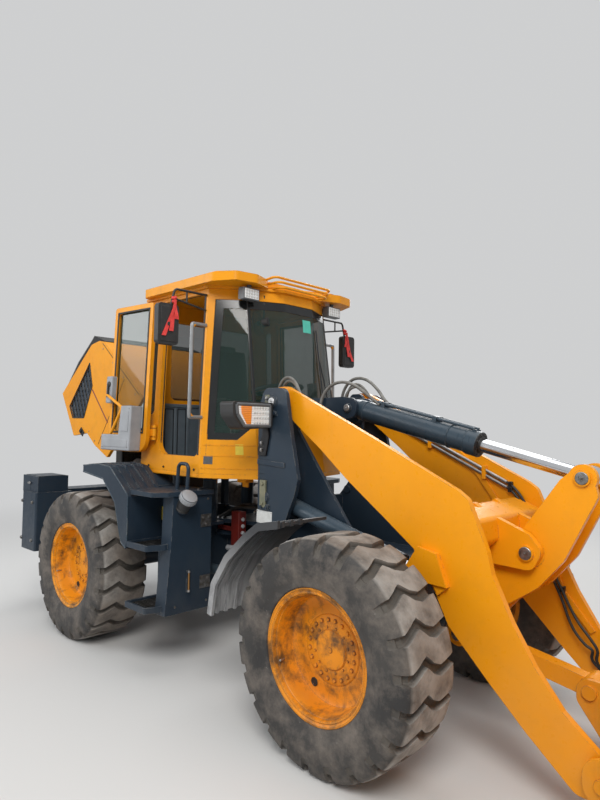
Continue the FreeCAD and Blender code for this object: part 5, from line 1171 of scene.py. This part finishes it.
def dressHood():
    hx, hz = hoodHinge.x, hoodHinge.z

    def piece(name, slotName, finish, *shapes, bevel=0.0):
        addPiece("hood", name, slotName, finish, *shapes, bevel=bevel, turn=hoodTurn)

    def placed(points):
        return [(hx + x, hz + z) for x, z in points]

    window = placed(hood["window"])
    for sideName, side in sides:
        skin, out = side * hood["half"], (0, side, 0)
        piece("hood_window_seal_" + sideName, "black_plastic", "sealRubber", *[
            (addRod, alongSide(a, skin), alongSide(b, skin), 5, 10) for a, b in zip(window, window[1:] + window[:1])])
        panel = [(x + (-870 + hx - x) * 0.012, z + (hz - 640 - z) * 0.012) for x, z in window]
        piece("hood_window_panel_" + sideName, "black_plastic", "mouldedBlack",
              (addSidePlate, panel, side * 522, side * 536))
        piece("hood_slats_" + sideName, "black_metal", "slatePaint", *[
            (addClippedBar, window, 900, k, skin, side) for k in range(11)], bevel=1.5)
        piece("hood_stripe_" + sideName, "yellow_paint", "stripeRed",
              (addSidePlate, placed(hood["stripe"]), skin, skin + side * 0.9))
        # the pressed seams: one under the top edge and one down the side
        piece("hood_seam_" + sideName, "black_metal", "blackPaint", *[
            (addSidePlate, placed([(x0, z0), (x1, z0), (x1, z1), (x0, z1)]), skin, skin + side * 1.2)
            for x0, x1, z0, z1 in ((hood["seamBack"], -60, -24, -30), (-350, -344, -60, -770))], bevel=0.4)
        piece("hood_screws_" + sideName, "black_metal", "boltSteel", *[
            (addTurned, alongSide(p, skin), out, [(0, 0), (7, 0), (6, 3), (0, 4)], 14)
            for p in placed(hood["screws"])])
        piece("hood_latch_" + sideName, "black_metal", "blackPaint",
              (addBox, hx - 700, hx - 620, skin, skin + side * 9, hz - 900, hz - 850),
              (addBox, hx - 690, hx - 660, skin + side * 9, skin + side * 18, hz - 890, hz - 862), bevel=3)
        piece("hood_buffers_" + sideName, "black_plastic", "sealRubber", *[
            (addTurned, (hx + x, side * 300, hz), (0, 0, 1), [(0, 0), (26, 0), (24, 16), (14, 22), (0, 22)], 24)
            for x in (-180, -420)])
    # the black surround of the rear grille: a bar over the corner, a post down each side and a foot between them
    piece("hood_grille_surround", "black_metal", "blackPaint", *[
        (addSidePlate, placed(hood[outline]), y0, y1) for outline, y0, y1 in (
            ("surroundBar", -530, 530), ("surroundPost", -530, -418), ("surroundPost", 418, 530),
            ("surroundFoot", -418, 418))], bevel=3)
    trim = placed(hood["trim"])
    piece("hood_grille_trim", "black_metal", "handleGrey", *[
        (addRod, alongSide(a, y), alongSide(b, y), 4, 8) for a, b in zip(trim, trim[1:]) for y in (-528, 528)])
    piece("hood_stay_brackets", "black_metal", "blackPaint", *[
        (addRod, (hx - 300, y, hz - 200), (hx - 620, y, hz - 40), 9) for y in (-180, 180)])
    print("hood ready")


dressHood()


lamps = {"face": 545, "lens": [(566, 1700), (566, 1832), (842, 1832), (834, 1772), (776, 1700)],
         "indicator": [(728, 1712), (722, 1822), (812, 1822), (806, 1778), (764, 1712)], "workY": 440}


# A red ribbon tied to the mirror's arm: three tails before the mirror, and two turns round the arm.
def ribbonShapes(side):
    shapes = []
    for k, (out, drop) in enumerate(((86, 250), (30, 215), (-14, 130))):
        steps = [Vector((-44 + 4 * math.sin(n * 0.9 + k), side * (900 + out * (n / 8) ** 1.4), 2540 - drop * n / 8))
                 for n in range(9)]
        for n, (a, b) in enumerate(zip(steps, steps[1:])):
            half, below = Vector((0, 8 + 9 * n / 8, 0)), Vector((0, 9 + 9 * n / 8, 0))
            shapes.append((addPrism, [a - half, a + half, b + below, b - below], Vector((1.6, 0, 0))))
    for r, z in ((17, 2556), (14, 2532)):
        shapes.append((addTurned, (-62, side * 897, z), (0.3, side * 0.4, 1),
                       [(r - 7, -10), (r, -8), (r + 3, 0), (r, 8), (r - 7, 10)], 14, True))
    return shapes


def dressLamps():
    face, ahead = lamps["face"], (1, 0, 0)
    for sideName, side in sides:
        lens, indicator = ([(side * y, z) for y, z in lamps[k]] for k in ("lens", "indicator"))
        frontPiece("headlamp_lens_" + sideName, "lamp", "clearLens", (addFrontPlate, lens, face, face + 5), bevel=4)
        frontPiece("headlamp_indicator_" + sideName, "lamp", "amberLens",
                   (addFrontPlate, indicator, face + 3, face + 9), bevel=3)
        frontPiece("headlamp_bezel_" + sideName, "lamp", "lampGrey", *[
            (addRod, (face + 1, *a), (face + 1, *b), 11, 12) for a, b in zip(lens, lens[1:] + lens[:1])])
        frontPiece("headlamp_diodes_" + sideName, "lamp", "labelWhite", *[
            (addTurned, (face + 4.5, side * (584 + 23 * i), 1720 + 31 * j), ahead,
             [(0, -1), (8.5, 0), (8, 2.5), (4, 4.4), (0, 5)], 12) for i in range(6) for j in range(4)])
        frontPiece("headlamp_ribs_" + sideName, "lamp", "lampGrey", *[
            sideBox(side, 440, 530, 540, 536.5, z, z + 8) for z in (1700, 1740, 1780, 1820)], bevel=1)
        # work lamps on the roof's edge
        y0 = side * lamps["workY"]
        rearPiece("work_lamp_lens_" + sideName, "lamp", "clearLens", (addBox, 205, 209, y0 - 64, y0 + 64, 2587, 2655),
                  bevel=3)
        rearPiece("work_lamp_diodes_" + sideName, "lamp", "labelWhite", *[
            (addTurned, (208.5, y0 - 48 + 24 * i, 2600 + 21 * j), ahead,
             [(0, 0), (9, 0), (8, 2.5), (4, 4), (0, 4.5)], 12) for i in range(5) for j in range(3)])
        rearPiece("work_lamp_fins_" + sideName, "lamp", "lampGrey", *[
            (addBox, 132, 151, y0 - 60 + 18 * k, y0 - 54 + 18 * k, 2588, 2654) for k in range(7)])
        # mirror glass faces the driver; a dark shell stands in front of it
        rearPiece("mirror_glass_" + sideName, "black_metal", "mirrorGlass",
                  sideBox(side, -103.5, -101.8, 874, 1010, 2248, 2497), bevel=0.5)
        rearPiece("mirror_shell_" + sideName, "black_metal", "mouldedBlack",
                  sideBox(side, -54, -50, 880, 1004, 2254, 2490),
                  (addTurned, (-51, side * 942, 2372), ahead, [(0, 0), (17, 0), (14, 6), (0, 8)], 20), bevel=3)
        rearPiece("mirror_ribbon_" + sideName, "black_metal", "ribbonRed", *ribbonShapes(side), sharp=70)
    rearPiece("roof_lamp_cable", "black_plastic", "sealRubber", (addBox, -10, 205, -8, 8, 2660, 2668), bevel=2)
    print("lamps and mirrors ready")


dressLamps()


# tanks, steps and fender edges beside the cab
tank = {"front": -110, "ladder": -440, "steps": (850, 440), "filler": (-52, -760, 1192), "neck": (-112, -760, 1128),
        "fenderTop": [(-1110, 1378), (-860, 1400), (-700, 1388), (-464, 1222), (-440, 1196), (-440, 880)],
        "fenderLip": [(-454, 838), (-517, 872), (-619, 1143), (-797, 1296), (-1110, 1331)]}


def edgeRods(points, y, radius):
    return [(addRod, alongSide(a, y), alongSide(b, y), radius, 10) for a, b in zip(points, points[1:])]


def dressTanks():
    tankX, ladder = tank["front"], tank["ladder"]
    for sideName, side in sides:
        out, ahead = (0, side, 0), (1, 0, 0)
        grids, brackets = [], []
        for z in tank["steps"]:
            for k in range(9):
                x = ladder + 22 + 29 * k
                grids.append(sideBox(side, x, x + 8, 712, 962 if k < 7 else 905, z + 12, z + 27))
            grids += [sideBox(side, ladder + 18, ladder + 205, y, y + 6, z + 12, z + 24) for y in (740, 800, 860, 920)]
        rearPiece("step_grids_" + sideName, "black_metal", "blackPaint", *grids)
        # a rolled edge along the fenders' top and lip, in the paler cylinder paint as a painted highlight
        rearPiece("fender_rims_" + sideName, "grey_paint", "cylinderPaint",
                  *edgeRods(tank["fenderTop"], side * 983, 5), *edgeRods(tank["fenderLip"], side * 981, 7))
        for z in (560, 985):    # brackets on the inner front corner
            brackets.append(sideBox(side, tankX, tankX + 5, 512, 600, z, z + 88))
            brackets += [(addBolt, (tankX + 5, side * y, z + dz), ahead, 9)
                         for y, dz in ((534, 66), (578, 66), (556, 20))]
        rearPiece("tank_brackets_" + sideName, "black_metal", "boltSteel", *brackets)
        rearPiece("tank_bolts_" + sideName, "black_metal", "boltSteel",
                  *[(addBolt, (tankX, side * y, z), ahead, 8) for y, z in ((540, 470), (800, 470), (540, 1180))],
                  *[(addBolt, (x, side * 700, 500), out, 8) for x in (-440, -360, -280)],
                  *[(addBolt, (x, side * 600, 1245), (0, 0, 1), 9) for x in (-145, -390)])
        rearPiece("tank_label_" + sideName, "yellow_paint", "labelYellow",
                  sideBox(side, -478, -411, 700, 701.4, 1008, 1105), bevel=0.5)
    # the filler: a ribbed cap on a sloping neck
    cap, start, axis = Vector(tank["filler"]), Vector(tank["neck"]), Vector((28, 0, 30)).normalized()
    ribs = []
    for k in range(20):
        angle = math.pi * k / 10
        rib = cap + rotationTo(axis) @ Vector((60 * math.cos(angle), 60 * math.sin(angle), 0))
        ribs.append((addRod, rib + axis * 4, rib + axis * 32, 3, 8))
    rearPiece("filler_cap", "black_plastic", "binGrey", (addTurned, cap, axis, [
        (0, -1.5), (59, -1.5), (60.5, 2), (60.5, 34), (56, 41), (46, 42), (42, 44.5), (16, 45), (0, 45)], 40), *ribs)
    neck, long = cap - start, (cap - start).length
    rearPiece("filler_neck", "black_plastic", "mouldedBlack", (addTurned, start, neck, [
        (46, 0), (50, 2), (50, 10), (46.6, 12), (46.6, long - 14), (50, long - 12), (50, long - 3), (46, long - 2)],
        36, True))
    rearPiece("fuel_gauge", "lamp", "brassTube", (addRod, (-95, -701, 568), (-95, -701, 688), 6.5))
    ends = []
    for z in (556, 686):
        ends += [(addRod, (-95, -701, z), (-95, -701, z + 14), 10), (addBolt, (-99, -701, z + 7), (1, 0, 0), 8)]
    rearPiece("fuel_gauge_ends", "black_metal", "zincPipe", *ends)
    print("tanks ready")


dressTanks()


hitch = {"hoseYs": (-215, -165, 165, 215), "rear": (-392, 985), "front": (386, 975), "shaftZ": 706}


# the hitch between the two frames
def dressHitch():
    (rearX, rearZ), (frontX, frontZ), shaftZ = hitch["rear"], hitch["front"], hitch["shaftZ"]
    bothFrames = ("rear_frame", "front_frame")
    for k, y in enumerate(hitch["hoseYs"]):
        rise = 60 + 18 * (k % 2)
        points = [(rearX, y, rearZ), (-340, y, 1010), (-220, y * 0.9, 1020 + rise), (-20, y * 0.75, 1030 + rise),
                  (180, y * 0.85, 1010 + rise), (330, y, 990), (frontX, y, frontZ)]
        addBendingHose("hitch_hose_%d" % k, points, 12, bothFrames, "hoseRubber",
                       points[0], points[-1])
    rearPiece("hitch_fittings_rear", "black_metal", "zincPipe", *[
        (addTurned, (rearX + 1, y, rearZ), (1, 0, 0.5), [(0, -6), (17, -6), (17, 14), (14, 18), (0, 18)], 6)
        for y in hitch["hoseYs"]])
    frontPiece("hitch_fittings_front", "black_metal", "zincPipe", *[
        (addTurned, (frontX, y, frontZ), (-1, 0, 0.3), [(0, -3), (17, -3), (17, 16), (14, 20), (0, 20)], 6)
        for y in hitch["hoseYs"]])
    valves, fittings = [], []
    for side in (-1, 1):
        valves += [sideBox(side, -200, -112, 248, 176, 800, 1056), sideBox(side, -392, -198, 228, 196, 900, 930)]
        fittings.append((addRod, (-220, side * 262, 784), (-96, side * 262, 790), 21))
        fittings += [(addTurned, (-110, side * 212, z), (1, 0, 0), [(0, -4), (15, -4), (15, 10), (9, 16), (0, 16)], 6)
                     for z in (850, 900, 950, 1000)]
    rearPiece("steering_valves", "black_metal", "oxideRed", *valves, bevel=4)
    rearPiece("valve_fittings", "black_metal", "binGrey", *fittings)
    # the drive shaft's two halves and the boot between them
    flange = [(0, -30), (50, -30), (52, -20), (52, -6), (44, 0), (0, 0)]
    for name, body, start, end, way in (("rear", "rear_frame", rearX, -70, 1), ("front", "front_frame", 70, 388, -1)):
        addPiece(body, "drive_shaft_" + name, "black_metal", "ironDark",
                 (addRod, (start, 0, shaftZ), (end, 0, shaftZ), 32, 24),
                 (addTurned, (-76 * way, 0, shaftZ), (way, 0, 0), flange, 28))
    boot = [(x, 0, shaftZ) for x in (-72, -30, 30, 72)]
    addBendingHose("drive_shaft_boot", boot, 34, bothFrames, "sealRubber", boot[0], boot[-1])
    caps = []
    for z, up in ((1003, 1), (417, -1)):
        caps += [(addTurned, (0, 0, z), (0, 0, up), [(0, -2), (52, -2), (52, 6), (46, 10), (0, 10)], 32),
                 (addBoltRing, (0, 0, z + up * 10), (0, 0, up), 34, 4, 7)]
    rearPiece("hitch_pin_caps", "black_metal", "slatePaint", *caps)
    print("hitch ready")


dressHitch()


# the engine under the raised hood
def dressEngine():
    up, ahead = (0, 0, 1), (1, 0, 0)
    rearPiece("valve_covers", "black_metal", "blackPaint",
              *[(addBox, x, x + 70, -118, 118, 1480, 1512) for x in range(-1640, -1200, 80)],
              (addBox, -1668, -1142, -150, -128, 1480, 1496), bevel=8, segments=3)
    manifolds = []
    for side, z in ((-1, 1300), (1, 1260)):
        manifolds.append((addRod, (-1652, side * 268, z), (-1150, side * 268, z), 30, 24))
        manifolds += [(addRod, (x, side * 226, z - 30), (x, side * 268, z), 19, 16) for x in range(-1610, -1180, 84)]
    turbo = [(0, -50), (52, -50), (70, -30), (74, 0), (70, 30), (52, 50), (0, 52)]
    rearPiece("engine_manifolds", "black_metal", "ironDark", *manifolds,
              (addTurned, (-1400, -300, 1340), (0, 0.2, 1), turbo, 32),
              (addRod, (-1400, -268, 1300), (-1400, -296, 1330), 34, 24), sharp=40)
    filters = []
    for x in (-1240, -1130):
        filters += [(addTurned, (x, -276, 905), up, [(0, 0), (38, 0), (45, 8), (45, 150), (42, 158), (46, 162),
                                                     (46, 176), (0, 176)], 32),
                    (addBox, x - 30, x + 30, -300, -228, 1080, 1110)]
    rearPiece("engine_filters", "black_metal", "labelWhite", *filters,
              (addTurned, (-1500, 276, 905), up, [(0, 0), (50, 0), (56, 10), (56, 190), (50, 200), (0, 202)], 32),
              (addBox, -1530, -1470, 228, 300, 1106, 1136))
    # the air cleaner across the top, and its hose
    cleaner = [(0, 0), (98, 0), (106, 8), (106, 28), (98, 34), (98, 380), (106, 388), (106, 470), (96, 482), (40, 490),
               (0, 490)]
    rearPiece("air_cleaner", "black_plastic", "mouldedBlack", (addTurned, (-1120, -250, 1640), (0, 1, 0), cleaner, 48),
              *[(addBox, -1150, -1090, y, y + 40, 1478, 1560) for y in (-160, 120)], sharp=30)
    addHose("air_hose", [(-1120, 235, 1640), (-1150, 300, 1640), (-1260, 320, 1560), (-1380, 300, 1420),
                         (-1430, 275, 1330), (-1430, 262, 1290)], 38, "rear_frame", "hoseRubber")
    for k, y in enumerate((-130, 130)):
        addHose("coolant_hose_%d" % k, [(-1800, y, 1560 - 560 * k), (-1765, y, 1562 - 560 * k),
                                        (-1740, y * 0.8, 1540 - 560 * k), (-1720, y * 0.6, 1450 - 470 * k),
                                        (-1690, y * 0.5, 1400 - 420 * k)], 27, "rear_frame",
                "hoseRubber")
    # the fan, the radiator's frame and its fins
    blades = []
    for k in range(8):
        turn = Matrix.Rotation(math.pi * k / 4, 3, "X")
        corners = [Vector((x, 0, 1180)) + turn @ Vector((0, y, z)) for x, y, z in (
            (-1768, 50, -30), (-1744, 50, 30), (-1738, 218, 46), (-1774, 218, -34))]
        blades.append((addPrism, corners, Vector((4, 0, 0))))
    hub = [(0, -10), (60, -10), (64, 0), (60, 14), (36, 44), (0, 44)]
    rearPiece("cooling_fan", "black_plastic", "sealRubber", (addTurned, (-1762, 0, 1180), ahead, hub, 32), *blades)
    rearPiece("radiator_frame", "black_metal", "blackPaint",
              (addTurned, (-1800, 0, 1180), ahead, [(232, 0), (240, 0), (240, 62), (232, 62)], 48, True),
              *[(addBox, -1802, -1790, -268, 268, z, z + 14) for z in (860, 1560)],
              *[(addBox, -1802, -1790, y, y + 18, 830, 1600) for y in (-268, 250)],
              (addBox, -1906, -1794, -278, 278, 1640, 1664),
              *[(addTurned, (-1850, y, 1664), up, [(0, 0), (26, 0), (28, 6), (28, 18), (22, 24), (0, 24)], 24)
                for y in (-190, 170)])
    for name, x in (("front", -1800), ("rear", -1904)):
        rearPiece("radiator_fins_" + name, "black_metal", "boltSteel", *[
            (addBox, x, x + 4, -248 + 11.4 * k, -248 + 11.4 * k + 3, 840, 1632) for k in range(44)])
    body = [(0, 0), (52, 0), (52, 16), (70, 22), (74, 40), (74, 110), (60, 126), (0, 128)]
    rearPiece("alternator", "black_metal", "zincPipe", (addTurned, (-1735, 190, 1330), ahead, body, 32),
              (addTurned, (-1728, 0, 980), ahead, [(0, -6), (88, -6), (88, 12), (0, 12)], 40))
    belt = [(46, 1352), (190, 1386), (246, 1330), (180, 1120), (92, 980), (0, 890), (-92, 980), (-60, 1180)]
    addHose("fan_belt", [(-1728, y, z) for y, z in belt], 8, "rear_frame", "sealRubber", closed=True)
    # bolts along the gearbox and the engine's sump
    bolts = []
    for side in (-1, 1):
        bolts += [(addBolt, (-1000, side * 160, z), (0, side, 0), 10) for z in (860, 940, 1020, 1100)]
        bolts += [(addBolt, (x, side * 230, z), (0, side, 0), size) for x in (-1640, -1500, -1360, -1220, -1080)
                  for z, size in ((860, 10), (1100, 8))]
    rearPiece("engine_bolts", "black_metal", "boltSteel", *bolts)
    print("engine ready")


dressEngine()


ends = {"rearFace": -2540, "towX": -2565, "axleX": 1325, "axleZ": 575,
        "cover": [(0, -30), (122, -30), (122, -4), (112, 0), (60, 16), (0, 18)]}


# counterweight, tow pin, axles and bucket
def dressEnds():
    rearFace, axleZ = ends["rearFace"], ends["axleZ"]
    for sideName, side in sides:
        out = (0, side, 0)
        rearPiece("tail_lamp_housing_" + sideName, "black_plastic", "mouldedBlack",
                  sideBox(side, rearFace - 6, rearFace + 2, 420, 640, 930, 1020), bevel=5)
        for kind, y0, y1 in (("redLens", 430, 520), ("amberLens", 526, 576), ("clearLens", 582, 630)):
            rearPiece("tail_%s_%s" % (kind, sideName), "lamp", kind,
                      sideBox(side, rearFace - 11, rearFace - 4, y0, y1, 940, 1010), bevel=3)
        rearPiece("counterweight_bolts_" + sideName, "black_metal", "boltSteel",
                  *[(addBolt, (rearFace, side * y, z), (-1, 0, 0), 22)
                    for y, z in ((240, 1010), (240, 620), (480, 620))],
                  *[(addBolt, (x, side * 920, z), out, 14) for x in (-2420, -2200) for z in (640, 980)])
        rearPiece("battery_lids_" + sideName, "grey_paint", "slatePaint",
                  sideBox(side, -2452, -2152, 640, 880, 1215, 1219), sideBox(side, -2300, -2296, 615, 902, 1080, 1200),
                  bevel=2)
        rearPiece("battery_latches_" + sideName, "black_metal", "zincPipe",
                  (addRod, (-2302, side * 901, 1150), (-2302, side * 915, 1150), 12),
                  sideBox(side, -2330, -2274, 913, 919, 1142, 1158), bevel=1.5)
    rearPiece("rear_plate", "black_metal", "labelWhite", (addBox, rearFace - 2, rearFace + 1, -190, 190, 820, 910),
              bevel=1)
    rearPiece("tow_pin", "black_metal", "zincPipe", (addRod, (ends["towX"], 0, 655), (ends["towX"], 0, 800), 19),
              (addRod, (ends["towX"], -52, 792), (ends["towX"], 52, 792), 8))
    for end, way, body in (("front", 1, "front_frame"), ("rear", -1, "rear_frame")):
        x, behind = way * ends["axleX"], (-1, 0, 0)
        covers = [(addTurned, (x - 152, 0, axleZ), behind, ends["cover"], 36),
                  (addBoltRing, (x - 152, 0, axleZ), behind, 100, 12, 8)]
        for side in (-1, 1):
            covers += [(addTurned, (x, side * 540, axleZ), (0, side, 0), [(96, 0), (126, 0), (126, 18), (96, 18)], 36,
                        True),
                       (addBoltRing, (x, side * 558, axleZ), (0, side, 0), 111, 12, 7)]
        addPiece(body, end + "_axle_covers", "grey_paint", "slatePaint", *covers, sharp=40)
    bucketPiece = partial(addPiece, "coupler")
    bucketPiece("bucket_edge_bolts", "iron", "ironDark", *[
        (addBolt, (3622, y, 43), (0, 0, 1), 15) for y in range(-1000, 1001, 200)])
    bucketPiece("bucket_wear_plate", "iron", "barePlate", (addBox, 3080, 3600, -1066, 1066, 43, 46), bevel=1)
    print("ends ready")


dressEnds()
